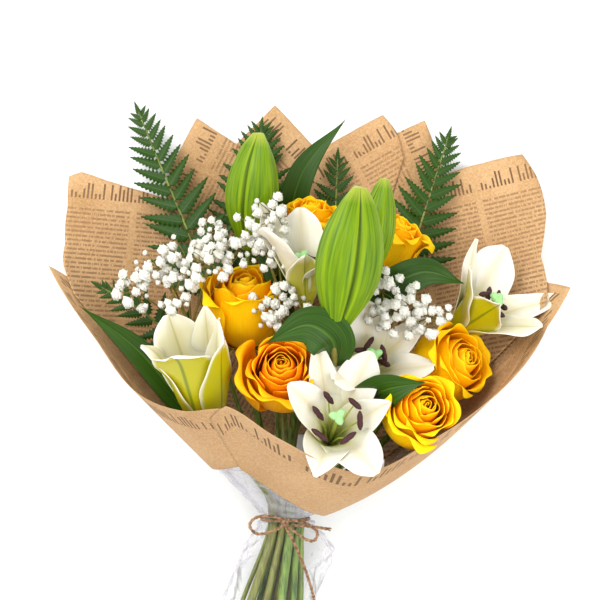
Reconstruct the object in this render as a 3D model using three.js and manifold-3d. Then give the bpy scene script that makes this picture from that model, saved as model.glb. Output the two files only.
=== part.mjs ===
// A hand-tied mixed bouquet lying on its back: roses, white lilies with buds and leaves,
// leatherleaf fern and double gypsophila, wrapped in printed kraft paper over clear film and
// tied with jute twine. Millimetres, +Z up. The heads point to +Y and the cut stems to -Y.
// The origin is on the flat underside of the wrap, under the middle of the flowers.
import * as THREE from 'three';
import { mergeVertices } from 'three/addons/utils/BufferGeometryUtils.js';
import Module from 'manifold-3d';

const wasm = await Module();
wasm.setup();

// ---------------------------------------------------------------- driving dimensions
const GAP = 0.35;                 // clearance between pieces that touch
const TRIM_GAP = 0.3;             // clearance left where one piece is cut to clear another
const PAPER = 0.6;                // paper and film, drawn thicker than life
const BLADE = 0.8;                // petals and leaves
const TIE = [-12, -178, 30];      // middle of the bundle under the twine
const TWINE = 2.8;                // twine diameter
const STEM_END_Y = -290;          // where the shortest stems are cut
const ROSE_STEM = 3;              // stem radii
const LILY_STEM = 3.6;
const FERN_STEM = 1.9;
const GYP_STEM = 1.6;

// ---------------------------------------------------------------- small helpers
const vec = (p) => new THREE.Vector3(...p);
const mix = THREE.MathUtils.lerp;
const rad = THREE.MathUtils.degToRad;
const curveThrough = (points) => new THREE.CatmullRomCurve3(points.map(vec), false, 'centripetal');

function randomFrom(seed) {
  let state = seed;
  return () => {
    state = (state * 1664525 + 1013904223) % 4294967296;
    return state / 4294967296;
  };
}

function solidOf(geometry) {
  geometry.deleteAttribute('normal');
  geometry.deleteAttribute('uv');
  const merged = mergeVertices(geometry, 1e-4);
  const vertProperties = new Float32Array(merged.attributes.position.array);
  const triVerts = new Uint32Array(merged.index.array);
  const solid = new wasm.Manifold(new wasm.Mesh({ numProp: 3, vertProperties, triVerts }));
  if (solid.volume() > 0) return solid;
  const turned = triVerts.map((_, k) => triVerts[k - (k % 3) + [0, 2, 1][k % 3]]);
  return new wasm.Manifold(new wasm.Mesh({ numProp: 3, vertProperties, triVerts: turned }));
}

const fuse = (solids) => wasm.Manifold.union(solids);

function geometryOf(solid) {
  const mesh = solid.getMesh();
  const geometry = new THREE.BufferGeometry();
  geometry.setAttribute('position', new THREE.BufferAttribute(mesh.vertProperties, mesh.numProp));
  geometry.setIndex(new THREE.BufferAttribute(mesh.triVerts, 1));
  geometry.computeVertexNormals();
  return geometry;
}

function placed(solid, base, axis, turn = 0) {
  const tilt = new THREE.Quaternion().setFromUnitVectors(vec([0, 0, 1]), vec(axis).normalize());
  const roll = new THREE.Quaternion().setFromAxisAngle(vec([0, 0, 1]), rad(turn));
  const matrix = new THREE.Matrix4().compose(vec(base), tilt.multiply(roll), vec([1, 1, 1]));
  return solid.transform(matrix.elements);
}

// A closed thin shell between two grids of points. Both faces are split into triangles alike.
// When wraps is true the last column joins the first, as on a sleeve.
function shellGeometry(columns, rows, frontAt, backAt, wraps = false) {
  const positions = [];
  const index = [];
  const lines = wraps ? columns : columns + 1;
  for (const pointAt of [frontAt, backAt]) {
    for (let i = 0; i < lines; i += 1) {
      for (let j = 0; j <= rows; j += 1) positions.push(...pointAt(i / columns, j / rows).toArray());
    }
  }
  const half = lines * (rows + 1);
  const front = (i, j) => (i % lines) * (rows + 1) + j;
  const back = (i, j) => front(i, j) + half;
  for (let i = 0; i < columns; i += 1) {
    for (let j = 0; j < rows; j += 1) {
      index.push(front(i, j), front(i + 1, j), front(i + 1, j + 1));
      index.push(front(i, j), front(i + 1, j + 1), front(i, j + 1));
      index.push(back(i, j), back(i + 1, j + 1), back(i + 1, j));
      index.push(back(i, j), back(i, j + 1), back(i + 1, j + 1));
    }
  }
  const wall = (p, q, pBack, qBack) => index.push(p, pBack, qBack, p, qBack, q);
  for (let i = 0; i < columns; i += 1) {
    wall(front(i, 0), front(i + 1, 0), back(i, 0), back(i + 1, 0));
    wall(front(i + 1, rows), front(i, rows), back(i + 1, rows), back(i, rows));
  }
  for (let j = 0; !wraps && j < rows; j += 1) {
    wall(front(columns, j), front(columns, j + 1), back(columns, j), back(columns, j + 1));
    wall(front(0, j + 1), front(0, j), back(0, j + 1), back(0, j));
  }
  const geometry = new THREE.BufferGeometry();
  geometry.setAttribute('position', new THREE.Float32BufferAttribute(positions, 3));
  geometry.setIndex(index);
  return geometry;
}

// A blade round its middle surface: u runs from -1 to 1 across it and v from 0 to 1 along it.
function blade(surface, across, along, thickness = BLADE) {
  const step = 0.01;
  const faceAt = (side) => (i, v) => {
    const u = 2 * i - 1;
    const middle = surface(u, v);
    const acrossIt = surface(u + step, v).sub(surface(u - step, v));
    const alongIt = surface(u, Math.min(1, v + step)).sub(surface(u, Math.max(0, v - step)));
    const normal = acrossIt.cross(alongIt).normalize();
    return middle.addScaledVector(normal, side * thickness / 2);
  };
  return solidOf(shellGeometry(across, along, faceAt(1), faceAt(-1)));
}

// A rod through the given points. radii holds one radius for each point, or one for all. ridges
// names rings whose corners stand out and in by turns, and by how much.
function rod(points, radii, sides = 5, ridges = {}) {
  const centres = points.map((p) => (Array.isArray(p) ? vec(p) : p));
  const last = centres.length - 1;
  const normal = new THREE.Vector3(0.8, 0.1, 0.6);
  const positions = [];
  const index = [];
  centres.forEach((centre, k) => {
    const along = centres[Math.min(last, k + 1)].clone().sub(centres[Math.max(0, k - 1)]).normalize();
    normal.addScaledVector(along, -normal.dot(along)).normalize();
    const side = along.clone().cross(normal);
    const radius = Array.isArray(radii) ? radii[k] : radii;
    for (let s = 0; s < sides; s += 1) {
      const angle = 2 * Math.PI * s / sides;
      const reach = radius * (1 + (ridges[k] ?? 0) * (s % 2 ? -1 : 1));
      const corner = centre.clone().addScaledVector(normal, reach * Math.cos(angle));
      positions.push(...corner.addScaledVector(side, reach * Math.sin(angle)).toArray());
    }
  });
  const ring = (k, s) => k * sides + (s % sides);
  for (let k = 0; k < last; k += 1) {
    for (let s = 0; s < sides; s += 1) {
      index.push(ring(k, s), ring(k, s + 1), ring(k + 1, s + 1));
      index.push(ring(k, s), ring(k + 1, s + 1), ring(k + 1, s));
    }
  }
  for (let s = 1; s < sides - 1; s += 1) {
    index.push(ring(0, 0), ring(0, s + 1), ring(0, s));
    index.push(ring(last, 0), ring(last, s), ring(last, s + 1));
  }
  const geometry = new THREE.BufferGeometry();
  geometry.setAttribute('position', new THREE.Float32BufferAttribute(positions, 3));
  geometry.setIndex(index);
  return solidOf(geometry);
}

// ---------------------------------------------------------------- the bundle under the twine
// Each stem in the tie: its radius, and where it heads for, seen along the bundle.
const STEMS = {
  rose_1: { radius: ROSE_STEM, aim: [-33, 24] },
  rose_2: { radius: ROSE_STEM, aim: [2, 66] },
  rose_3: { radius: ROSE_STEM, aim: [95, 66] },
  rose_4: { radius: ROSE_STEM, aim: [112, 35] },
  rose_5: { radius: ROSE_STEM, aim: [16, 4] },
  rose_6: { radius: ROSE_STEM, aim: [62, 8] },
  lily_1: { radius: LILY_STEM, aim: [-62, 60] },
  lily_2: { radius: LILY_STEM, aim: [38, 72] },
  lily_3: { radius: LILY_STEM, aim: [6, 28] },
  lily_4: { radius: LILY_STEM, aim: [34, 44] },
  lily_5: { radius: LILY_STEM, aim: [110, 6] },
  fern_1: { radius: FERN_STEM, aim: [-50, -2] },
  fern_2: { radius: FERN_STEM, aim: [-16, -22] },
  fern_3: { radius: FERN_STEM, aim: [62, -20] },
  fern_4: { radius: FERN_STEM, aim: [16, -24] },
  fern_5: { radius: FERN_STEM, aim: [-74, 28] },
  gypsophila_1: { radius: GYP_STEM, aim: [-56, 44] },
  gypsophila_2: { radius: GYP_STEM, aim: [-10, 40] },
  gypsophila_3: { radius: GYP_STEM, aim: [-12, 60] },
  gypsophila_4: { radius: GYP_STEM, aim: [62, 42] },
};

// The twine pulls the stems together until they touch: every round draws them in a little and
// pushes apart each pair that is too close.
function packStems(stems) {
  const list = Object.values(stems);
  for (const one of list) one.at = [one.aim[0] * 0.3, one.aim[1] * 0.3];
  for (let round = 0; round < 900; round += 1) {
    const pull = round < 800 ? 0.994 : 1;
    for (const one of list) one.at = [one.at[0] * pull, one.at[1] * pull];
    for (const one of list) {
      for (const other of list) {
        if (one === other) continue;
        const dx = one.at[0] - other.at[0];
        const dz = one.at[1] - other.at[1];
        const apart = Math.hypot(dx, dz) || 0.01;
        const short = one.radius + other.radius + GAP - apart;
        if (short <= 0) continue;
        one.at = [one.at[0] + dx / apart * short / 2, one.at[1] + dz / apart * short / 2];
        other.at = [other.at[0] - dx / apart * short / 2, other.at[1] - dz / apart * short / 2];
      }
    }
  }
  return Math.max(...list.map((one) => Math.hypot(...one.at) + one.radius));
}
const BUNDLE = packStems(STEMS);   // radius of the packed bundle

// The stem of a plant from its cut end, through the tie, to the points given.
function stemPoints(name, points) {
  const [x, z] = STEMS[name].at;
  const at = (y, spread, lean, lift) => [
    TIE[0] + x * spread + lean, y, TIE[2] + z * spread * 0.92 + lift,
  ];
  return [
    at(STEM_END_Y, 2.5, -22, 6),
    at(mix(TIE[1], STEM_END_Y, 0.5), 1.7, -10, 2.5),
    at(TIE[1] - 14, 1.06, -1.5, 0.3),
    at(TIE[1], 1, 0, 0),
    at(TIE[1] + 14, 1.1, 0, 1),
    ...points,
  ];
}

function mainStem(name, points, radiusAtHead = STEMS[name].radius, sides = 6) {
  const route = stemPoints(name, points);
  const tied = route.length - points.length;
  const thinning = (k) => Math.max(0, (k - tied + 1) / points.length);
  return rod(route, route.map((_, k) => mix(STEMS[name].radius, radiusAtHead, thinning(k))), sides);
}

// ---------------------------------------------------------------- the wrap
// Straight rulings run from a ring at the tie out to this rim, listed round from the middle of
// the back over the left side, the front and the right side.
const RIM = [
  [0, 125, 0], [-70, 120, 1], [-125, 100, 3], [-165, 75, 12], [-186, 40, 30],
  [-180, 5, 58], [-158, -31, 86], [-126, -70, 106], [-90, -84, 122], [-53, -84, 136],
  [-14, -106, 143], [45, -129, 140], [102, -103, 127], [148, -73, 105], [180, -40, 82],
  [198, -4, 56], [197, 35, 30], [180, 75, 12], [130, 108, 3], [70, 122, 1],
];
const rimCurve = new THREE.CatmullRomCurve3(RIM.map(vec), true, 'centripetal');
const LAYER = PAPER + GAP;         // step from one layer of the wrap to the next
const NECK = BUNDLE + GAP + LAYER; // radius of the wrap at the tie, outside the film
const FLOOR = LAYER + PAPER;       // inside of the wrap where it lies flat on two layers
const SAG = 16;                    // how far the back drops below its rulings, to lie flat
const SWELL = 11;                  // how far the right side bellies out

function wrapRuling(t) {
  const angle = -Math.PI / 2 - 2 * Math.PI * t;
  const neck = vec(TIE).add(new THREE.Vector3(NECK * Math.cos(angle), 0, NECK * Math.sin(angle)));
  return { neck, rim: rimCurve.getPoint(((t % 1) + 1) % 1) };
}

function wrapInside(t, v) {
  const { neck, rim } = wrapRuling(t);
  const point = neck.clone().lerp(rim, v);
  const arch = Math.sin(Math.PI * Math.min(Math.max(v, 0), 1));
  const atBack = Math.max(0, Math.cos(2 * Math.PI * t));
  const atRight = Math.max(0, Math.cos(2 * Math.PI * (t - 0.64))) ** 2;
  point.x += SWELL * arch * atRight * 0.6;
  point.y -= SWELL * arch * atRight * 0.8;
  point.z = Math.max(FLOOR, point.z - SAG * arch * atBack);
  return point;
}

function wrapPoint(t, v, outward) {
  const step = 0.004;
  const round = wrapInside(t + step, v).sub(wrapInside(t - step, v));
  const along = wrapInside(t, v + step).sub(wrapInside(t, v - step));
  const normal = round.cross(along).normalize();
  return wrapInside(t, v).addScaledVector(normal, outward);
}

// Where the wrap's back passes a place seen from above: how far round, and how far up.
function onBack(x, y) {
  let low = -0.27;
  let high = 0.27;
  const sideOf = (t) => {
    const { neck, rim } = wrapRuling(t);
    return (rim.x - neck.x) * (y - neck.y) - (rim.y - neck.y) * (x - neck.x);
  };
  for (let round = 0; round < 40; round += 1) {
    const middle = (low + high) / 2;
    if (sideOf(middle) > 0) low = middle;
    else high = middle;
  }
  const { neck, rim } = wrapRuling(low);
  return { t: low, v: Math.hypot(x - neck.x, y - neck.y) / Math.hypot(rim.x - neck.x, rim.y - neck.y) };
}

// A sheet of the wrap on one layer. Its top edge is a list of places round and up the wrap.
function wrapSheet(layer, top, footAt, rows = 5) {
  const inner = layer * LAYER;
  const columns = top.length - 1;
  const faceAt = (outward) => (i, j) => {
    const { t, v } = top[Math.round(i * columns)];
    return wrapPoint(t, mix(footAt(t), v, j), outward);
  };
  return solidOf(shellGeometry(columns, rows, faceAt(inner), faceAt(inner + PAPER)));
}

// The back is a fan of sheets, each showing a square corner, on two layers by turns. Every
// list runs along the top edge, in places seen from above.
const BACK_EDGES = [
  [[-190, 102], [-180, 106], [-160, 99], [-141, 93], [-110, 84]],
  [[-112, 92], [-107.7, 107.7], [-97, 129], [-85.3, 150.8], [-68, 139], [-52, 128.5], [-44, 112]],
  [[-66, 112], [-49.7, 132.6], [-35, 147], [-20.7, 161.7], [-4, 144], [12.4, 126], [30, 112]],
  [[6, 112], [16.6, 124.3], [42, 139], [68.8, 153.4], [75, 146], [80.4, 138.4], [86, 118]],
  [[62, 112], [80.4, 138.4], [92, 144], [103.6, 149.1], [112, 126], [120, 103.5], [124, 90]],
  [[112, 92], [120, 103.5], [152, 113], [183.8, 120.1]],
];
// The outer edges of the first and the last sheet climb the sides.
const LEFT_SIDE = [[0.25, 1.0], [0.225, 1.03], [0.2, 1.03], [0.175, 1.08]];
const RIGHT_SIDE = [[-0.175, 1.06], [-0.2, 1.0], [-0.225, 1.0], [-0.25, 1.0]];
const BACK_FOOT = 0.22;            // how far up the wrap the back sheets start
const spots = (rows) => rows.map(([t, v]) => ({ t, v }));
const backSheets = BACK_EDGES.map((edge, k) => {
  const layer = k % 2 === 0 ? 1 : 0;
  const top = edge.map(([x, y]) => onBack(x, y));
  if (k === 0) top.unshift(...spots(LEFT_SIDE));
  if (k === BACK_EDGES.length - 1) top.push(...spots(RIGHT_SIDE));
  return wrapSheet(layer, top, () => BACK_FOOT);
});

// The value of a list of [place, value, ...] rows, straight between them.
function along(rows, place, column = 1) {
  const next = rows.findIndex((row) => row[0] >= place);
  if (next === 0) return rows[0][column];
  if (next < 0) return rows[rows.length - 1][column];
  const [a, b] = [rows[next - 1], rows[next]];
  return mix(a[column], b[column], (place - a[0]) / (b[0] - a[0]));
}
// The places at even steps round the wrap that such rows describe.
const places = (rows, steps) => Array.from({ length: steps + 1 }, (_, k) => {
  const t = mix(rows[0][0], rows[rows.length - 1][0], k / steps);
  return { t, v: along(rows, t) };
});

// The left sheet starts under the back, shows its free corner, and passes under the front one.
const LEFT_TOP = [
  [0.2, 0.9], [0.225, 0.97], [0.25, 1.13], [0.275, 1.07], [0.3, 1.0], [0.375, 1.0], [0.45, 1.02],
  [0.5, 0.97],
];
const LEFT_FOOT = [[0.2, 0.3], [0.3, 0.34], [0.4, 0.5], [0.5, 0.6]];
const leftSheet = wrapSheet(2, places(LEFT_TOP, 12), (t) => along(LEFT_FOOT, t), 4);

// The front sheet is the outermost. It closes the wrap over the front and the right side.
const FRONT_TOP = [
  [0.425, 0.94], [0.45, 1.06], [0.475, 1.06], [0.55, 1.02], [0.725, 1.02], [0.75, 1.09],
  [0.775, 1.0], [0.825, 0.9],
];
const FRONT_FOOT = [[0.425, 0.5], [0.45, 0.4], [0.55, 0.34], [0.575, 0.25], [0.625, 0.3], [0.825, 0.3]];
const frontSheet = wrapSheet(3, places(FRONT_TOP, 16), (t) => along(FRONT_FOOT, t), 4);

// The clear film: a sleeve inside the paper, drawn in by the twine, with a loose skirt below it.
// Each row of the skirt: its Y, the middle's X and Z, and the half width and half height.
const SKIRT = [
  [-252, -26, 34, 37, 33], [-238, -23, 33, 38, 31], [-220, -17, 32, 38, 29],
  [-203, -9, 31, 37, 26], [-190, -9, 30.5, 30, 22.5], [-185, -11, 30, 24, 20],
];
const COLLAR = 2.6;                // the film stays this straight on both sides of the twine
const FILM_TOP = 0.46;             // how far up inside the paper the film reaches
const FILM_LIFT = 0.6;             // the film's skirt stays this far above the table

function filmPoint(t, w, outward) {
  const angle = -Math.PI / 2 - 2 * Math.PI * t;
  if (Math.abs(w) <= 0.02) {
    const waist = NECK + outward - LAYER;
    const y = TIE[1] + COLLAR * w / 0.02;
    return new THREE.Vector3(TIE[0] + waist * Math.cos(angle), y, TIE[2] + waist * Math.sin(angle));
  }
  if (w > 0) return wrapPoint(t, w * FILM_TOP, outward - LAYER - 0.4 * w);
  const y = mix(TIE[1], SKIRT[0][0], -w);
  const crumple = 1 + 0.05 * Math.min(1, -4 * w) * Math.sin(5 * angle + 9 * w);
  const wide = (along(SKIRT, y, 3) + outward - LAYER) * crumple;
  const high = (along(SKIRT, y, 4) + outward - LAYER) * crumple;
  const x = along(SKIRT, y, 1) + wide * Math.cos(angle);
  const z = along(SKIRT, y, 2) + high * Math.sin(angle);
  return new THREE.Vector3(x, y, Math.max(z, FILM_LIFT + PAPER - outward));
}
const FILM_ROWS = [-1, -0.7, -0.34, -0.16, -0.02, 0.02, 0.3, 1];
const FILM_BANDS = FILM_ROWS.length - 1;
const filmFace = (outward) => (i, j) => filmPoint(i, FILM_ROWS[Math.round(j * FILM_BANDS)], outward);
const film = solidOf(shellGeometry(20, FILM_BANDS, filmFace(0), filmFace(PAPER), true));

// ---------------------------------------------------------------- roses
// A bloom stands on its local origin along +Z. Its petals are wound round its heart in layers
// that join at the base: the inner ones close over it, and the outer ones roll outwards.
const PETALS_A_TURN = 3.4;

function roseBloom({ radius, height, turns, open }) {
  const columns = Math.round(turns * 9.5);
  const surface = (i, v) => {
    const layer = i ** 0.8;
    const angle = 2 * Math.PI * turns * i;
    const lobe = Math.abs(Math.sin(angle * PETALS_A_TURN / 2)) ** 0.6;
    const reach = radius * mix(0.1, 1, layer);
    const belly = Math.sin(Math.PI * (0.1 + 0.46 * v)) ** 0.9;
    const close = mix(-0.2, 0, layer) * v ** 3;
    const roll = open * layer ** 2 * Math.max(0, v - 0.6) / 0.4;
    const r = reach * (belly + close + 0.26 * roll * lobe);
    const tall = height * mix(1, 0.9, layer) * (mix(0.86, 1, lobe) - 0.16 * roll * lobe);
    return new THREE.Vector3(r * Math.cos(angle), r * Math.sin(angle), tall * v);
  };
  const step = 0.01;
  const faceAt = (side) => (i, v) => {
    const round = surface(i + step / turns, v).sub(surface(Math.max(0, i - step / turns), v));
    const rise = surface(i, Math.min(1, v + step)).sub(surface(i, Math.max(0, v - step)));
    return surface(i, v).addScaledVector(round.cross(rise).normalize(), side * BLADE / 2);
  };
  return solidOf(shellGeometry(columns, 3, faceAt(1), faceAt(-1)));
}

// The green cup under a bloom, with five sepals round its edge.
function roseCup(radius) {
  const cup = [[0, -0.3], [0.1, -0.3], [0.44, -0.15], [0.26, -0.03], [0, -0.03]]
    .map(([r, z]) => new THREE.Vector2(r * radius, z * radius));
  const geometry = new THREE.LatheGeometry(cup, 10).rotateX(Math.PI / 2);
  const place = geometry.attributes.position;
  for (let k = 0; k < place.count; k += 1) {
    const [x, y] = [place.getX(k), place.getY(k)];
    const between = Math.sin(5 * Math.atan2(y, x)) < 0;
    const scale = between && Math.hypot(x, y) > 0.28 * radius ? 0.5 : 1;
    place.setXYZ(k, x * scale, y * scale, place.getZ(k));
  }
  return solidOf(geometry);
}

// Where each rose sits, where it looks, and how many turns of petals it has. open is how far the
// outer petals roll back, and via lists the points that its stem passes above the tie.
const ROSES = {
  rose_1: {
    base: [-45, -33, 53], axis: [0, 0.85, 0.52], radius: 28, height: 54, turns: 3.4, open: 0.5,
    turn: 20, via: [],
  },
  rose_2: {
    base: [-11.5, -70, 90], axis: [0.05, 0.45, 0.89], radius: 27, height: 50, turns: 3.4, open: 0.8,
    turn: 130, via: [[-12, -132, 52], [-12.5, -96, 72]],
  },
  rose_3: {
    base: [83, -94, 96], axis: [0.3, 0.3, 0.9], radius: 27, height: 50, turns: 3.4, open: 0.9,
    turn: 60, via: [[30, -144, 54], [62, -116, 74]],
  },
  rose_4: {
    base: [101, -60, 56], axis: [0.6, 0.35, 0.7], radius: 29, height: 52, turns: 3.4, open: 0.9,
    turn: 200, via: [[40, -128, 42]],
  },
  rose_5: {
    base: [5, 34, 38], axis: [0.1, 0.92, 0.38], radius: 21, height: 50, turns: 2.5, open: 0.7,
    turn: 0, via: [[0, -70, 26], [4, 0, 32]],
  },
  rose_6: {
    base: [62, 20, 46], axis: [0.45, 0.85, 0.3], radius: 21, height: 52, turns: 2.5, open: 1.3,
    turn: 90, via: [[28, -70, 30]],
  },
};

// ---------------------------------------------------------------- lilies
// A trumpet of six tepals round the local +Z axis: three broad inner ones, and three narrower
// outer ones between and behind them. Each has its own turn, length and bend.
const OUTER_STEP = 2.4;            // the outer tepals lie this far behind the inner ones
const SPLIT = 0.52;                // how far up the trumpet the tepals part

function lilyBloom({ length, flares }) {
  const columns = 24;
  const surface = (i, v) => {
    const spot = (i * 6) % 6;
    const number = Math.round(spot) % 6;
    const off = Math.min(1, Math.abs(spot - Math.round(spot)) * 2);
    const before = Math.floor(spot);
    const flare = mix(flares[before % 6], flares[(before + 1) % 6], spot - before);
    const outer = number % 2 === 1;
    const lobe = 1 - off ** (outer ? 1.7 : 2.8);
    const share = v * mix(SPLIT, 1, lobe);
    const leanAt = (s) => rad(mix(10, flare, s ** 1.8));
    const steps = 14;
    let r = 2.2 + 4.6 * Math.min(1, share * 9);
    let z = 0;
    for (let k = 0; k < steps; k += 1) {
      const lean = leanAt(share * (k + 0.5) / steps);
      r += Math.sin(lean) * length * share / steps;
      z += Math.cos(lean) * length * share / steps;
    }
    const narrow = 1 - 0.2 * off * Math.max(0, share - SPLIT) / (1 - SPLIT);
    const wave = 4 * off * (1 - off) * share * Math.sin(2 * Math.PI * (1.6 * share + number / 3));
    const outward = (outer ? OUTER_STEP * lobe : 0) * Math.min(1, share * 4) - wave;
    r += outward * Math.cos(leanAt(share));
    z -= outward * Math.sin(leanAt(share));
    const angle = rad(60) * (number + (spot - Math.round(spot)) * narrow);
    return new THREE.Vector3(r * Math.cos(angle), r * Math.sin(angle), z);
  };
  const step = 0.003;
  const faceAt = (side) => (i, v) => {
    const round = surface((i + step) % 1, v).sub(surface((i - step + 1) % 1, v));
    const rise = surface(i, Math.min(1, v + step)).sub(surface(i, Math.max(0, v - step)));
    return surface(i, v).addScaledVector(round.cross(rise).normalize(), side * BLADE / 2);
  };
  return solidOf(shellGeometry(columns, 4, faceAt(1), faceAt(-1), true));
}

// The heart of a lily: the style with its three-lobed tip, and six filaments with long anthers.
function lilyCentre({ styleLength, spread = 22 }) {
  const foot = 3;
  const top = foot + styleLength;
  const disc = new THREE.CylinderGeometry(3.6, 2.4, 3, 6).rotateX(Math.PI / 2);
  disc.translate(0, 0, foot + 1.5);
  const style = [[0, 0, foot + 2], [0, 0, top - 4], [0, 0, top - 1], [0, 0, top + 1]];
  const parts = [solidOf(disc), rod(style, [1.4, 1.3, 3.6, 2.4], 6, { 2: 0.3 })];
  for (let k = 0; k < 6; k += 1) {
    const angle = k * Math.PI / 3 + 0.5;
    const lean = rad(spread);
    const long = styleLength * 0.9;
    const at = (share) => {
      const r = 2.6 + long * share * Math.sin(lean);
      return [r * Math.cos(angle), r * Math.sin(angle), foot + 2 + long * share * Math.cos(lean)];
    };
    parts.push(rod([at(0), at(0.84), at(1)], [0.7, 1.7, 0.6], 3));
  }
  return fuse(parts);
}

const LILIES = {
  lily_1: {
    base: [-73, -94, 84], axis: [-0.06, 0.83, 0.55], turn: 10, styleLength: 62, spread: 8,
    length: 104, flares: [24, 22, 30, 26, 20, 22],
    via: [[-30, -150, 48], [-58, -116, 68]],
  },
  lily_2: {
    base: [23, -112, 84], axis: [0.08, 0.34, 0.93], turn: 25, styleLength: 70, spread: 12,
    length: 104, flares: [66, 60, 62, 58, 66, 64],
    via: [[2, -158, 52], [14, -134, 66]],
  },
  lily_3: {
    base: [4, -4, 78], axis: [-0.05, 0.86, 0.5], turn: 40, styleLength: 54, spread: 8,
    length: 88, flares: [34, 30, 36, 30, 34, 30],
    via: [[-7, -110, 44], [0, -50, 62]],
  },
  lily_4: {
    base: [47, -63, 68], axis: [0.2, 0.4, 0.89], turn: 0, styleLength: 48, spread: 10,
    length: 74, flares: [46, 42, 36, 28, 34, 40],
  },
  lily_5: {
    base: [119, -30, 38], axis: [0.6, 0.5, 0.62], turn: 15, styleLength: 62, spread: 12,
    length: 94, flares: [60, 56, 62, 50, 52, 60],
    via: [[42, -116, 34], [90, -62, 36]],
  },
};

// ---------------------------------------------------------------- buds and leaves
// A closed bud: three swollen tepals meet in grooves, and the tip is blunt.
function lilyBud({ length, radius }) {
  const geometry = new THREE.SphereGeometry(1, 12, 6);
  const place = geometry.attributes.position;
  for (let k = 0; k < place.count; k += 1) {
    const [x, y, z] = [place.getX(k), place.getZ(k), place.getY(k)];
    const up = (z + 1) / 2;
    const angle = Math.atan2(y, x);
    const groove = 1 + 0.07 * Math.cos(3 * angle);
    const round = Math.hypot(x, y) * radius * mix(1.06, 0.82, up) * groove;
    place.setXYZ(k, round * Math.cos(angle), round * Math.sin(angle), length * up);
  }
  return solidOf(geometry);
}

const BUDS = {
  bud_1: { base: [-41, 40, 49], axis: [0.09, 0.95, 0.25], turn: 60, length: 96, radius: 21 },
  bud_2: { base: [27.4, -23, 140.5], axis: [0.15, 0.96, 0.24], turn: 100, length: 112, radius: 25 },
  bud_3: { base: [56.4, 20, 100], axis: [0.12, 0.97, 0.18], turn: 30, length: 76, radius: 13.5 },
};

// A leaf along a curve, folded a little on its midrib. facing is the way its upper face looks.
function leaf(points, width, facing, fold = 0.25, wave = 0) {
  const curve = curveThrough(points);
  const up = vec(facing).normalize();
  return blade((u, v) => {
    const middle = curve.getPoint(v);
    const side = curve.getTangent(v).cross(up).normalize();
    const normal = side.clone().cross(curve.getTangent(v)).normalize();
    const half = width / 2 * (0.07 + 0.93 * Math.sin(Math.PI * (0.06 + 0.9 * v ** 0.9)) ** 0.9);
    const lift = fold * half * Math.abs(u) + wave * Math.sin(9 * v) * u;
    return middle.addScaledVector(side, u * half).addScaledVector(normal, lift);
  }, 2, 5, BLADE);
}

// ---------------------------------------------------------------- fern and gypsophila
// A thin plate from a flat net of points and triangles. place sets a flat point in space, on the
// upper face when side is 1 and on the lower face when it is -1.
function plate(points, faces, place) {
  const positions = [1, -1].flatMap((side) => points.flatMap(([s, t]) => place(s, t, side).toArray()));
  const half = points.length;
  const index = faces.flatMap(([a, b, c]) => [a, b, c, a + half, c + half, b + half]);
  const edges = faces.flatMap(([a, b, c]) => [[a, b], [b, c], [c, a]]);
  const used = new Set(edges.map(([a, b]) => a * half + b));
  for (const [a, b] of edges.filter((edge) => !used.has(edge[1] * half + edge[0]))) {
    index.push(b, a, a + half, b, a + half, b + half);
  }
  const geometry = new THREE.BufferGeometry();
  geometry.setAttribute('position', new THREE.Float32BufferAttribute(positions, 3));
  geometry.setIndex(index);
  return solidOf(geometry);
}

// A frond cut from one thin arched blade: toothed leaflets by turns left and right of its rib.
const RIB = 1.2;                   // half the rib's width
const TOOTHED = 20;                // leaflets shorter than this are plain
const SLANT = rad(56);             // between a leaflet and the rib

function frond({ path, facing, leaflets, reach }) {
  const curve = curveThrough(path);
  const length = curve.getLength();
  const step = length * 0.87 / leaflets;
  const half = step * Math.sin(SLANT) * 0.9;
  const points = [];
  const faces = [];
  const add = (s, t) => points.push([s, t]) - 1;
  const sides = [[1, 0.2], [-1, 0.7]].map(([hand, shift]) => {
    const face = (a, b, c) => faces.push(hand > 0 ? [a, b, c] : [b, a, c]);
    const line = [add(0, hand * RIB)];
    for (let k = 0; k < leaflets; k += 1) {
      const root = length * 0.07 + step * (k + shift);
      const long = reach * (1 - 0.86 * (k / leaflets) ** 1.25) * (k === 0 ? 0.86 : 1);
      const deep = long * Math.sin(SLANT);
      const corner = (share, wide) => {
        const s = root + share * deep / Math.tan(SLANT) + wide * half / Math.sin(SLANT);
        return add(s, hand * (RIB + share * deep));
      };
      let [low, high] = [corner(0, -0.42), corner(0, 0.42)];
      line.push(low, high);
      for (const [share, wide] of long > TOOTHED ? [[0.3, 0.5], [0.48, 0.27]] : [[0.4, 0.45]]) {
        const [nextLow, nextHigh] = [corner(share, -wide), corner(share, 0.9 * wide)];
        face(low, high, nextHigh);
        face(low, nextHigh, nextLow);
        [low, high] = [nextLow, nextHigh];
      }
      face(low, high, corner(1, 0));
    }
    line.push(add(length, hand * 0.5));
    return line;
  });
  // The rib joins the roots of both sides, in the order in which they stand along it.
  const [left, right] = sides;
  for (let [i, j] = [0, 0]; i + 1 < left.length || j + 1 < right.length;) {
    const [a, b] = [left[i + 1], right[j + 1]];
    const leftNext = b === undefined || (a !== undefined && points[a][0] <= points[b][0]);
    faces.push([left[i], right[j], leftNext ? a : b]);
    if (leftNext) i += 1;
    else j += 1;
  }
  const up = vec(facing).normalize();
  return plate(points, faces, (s, t, side) => {
    const share = THREE.MathUtils.clamp(s / length, 0, 1);
    const tangent = curve.getTangentAt(share);
    const across = up.clone().cross(tangent).normalize();
    const normal = tangent.clone().cross(across).normalize();
    const point = curve.getPointAt(share).addScaledVector(tangent, s - share * length);
    return point.addScaledVector(across, t).addScaledVector(normal, side * BLADE / 2 - 0.0022 * t * t);
  });
}

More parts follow.
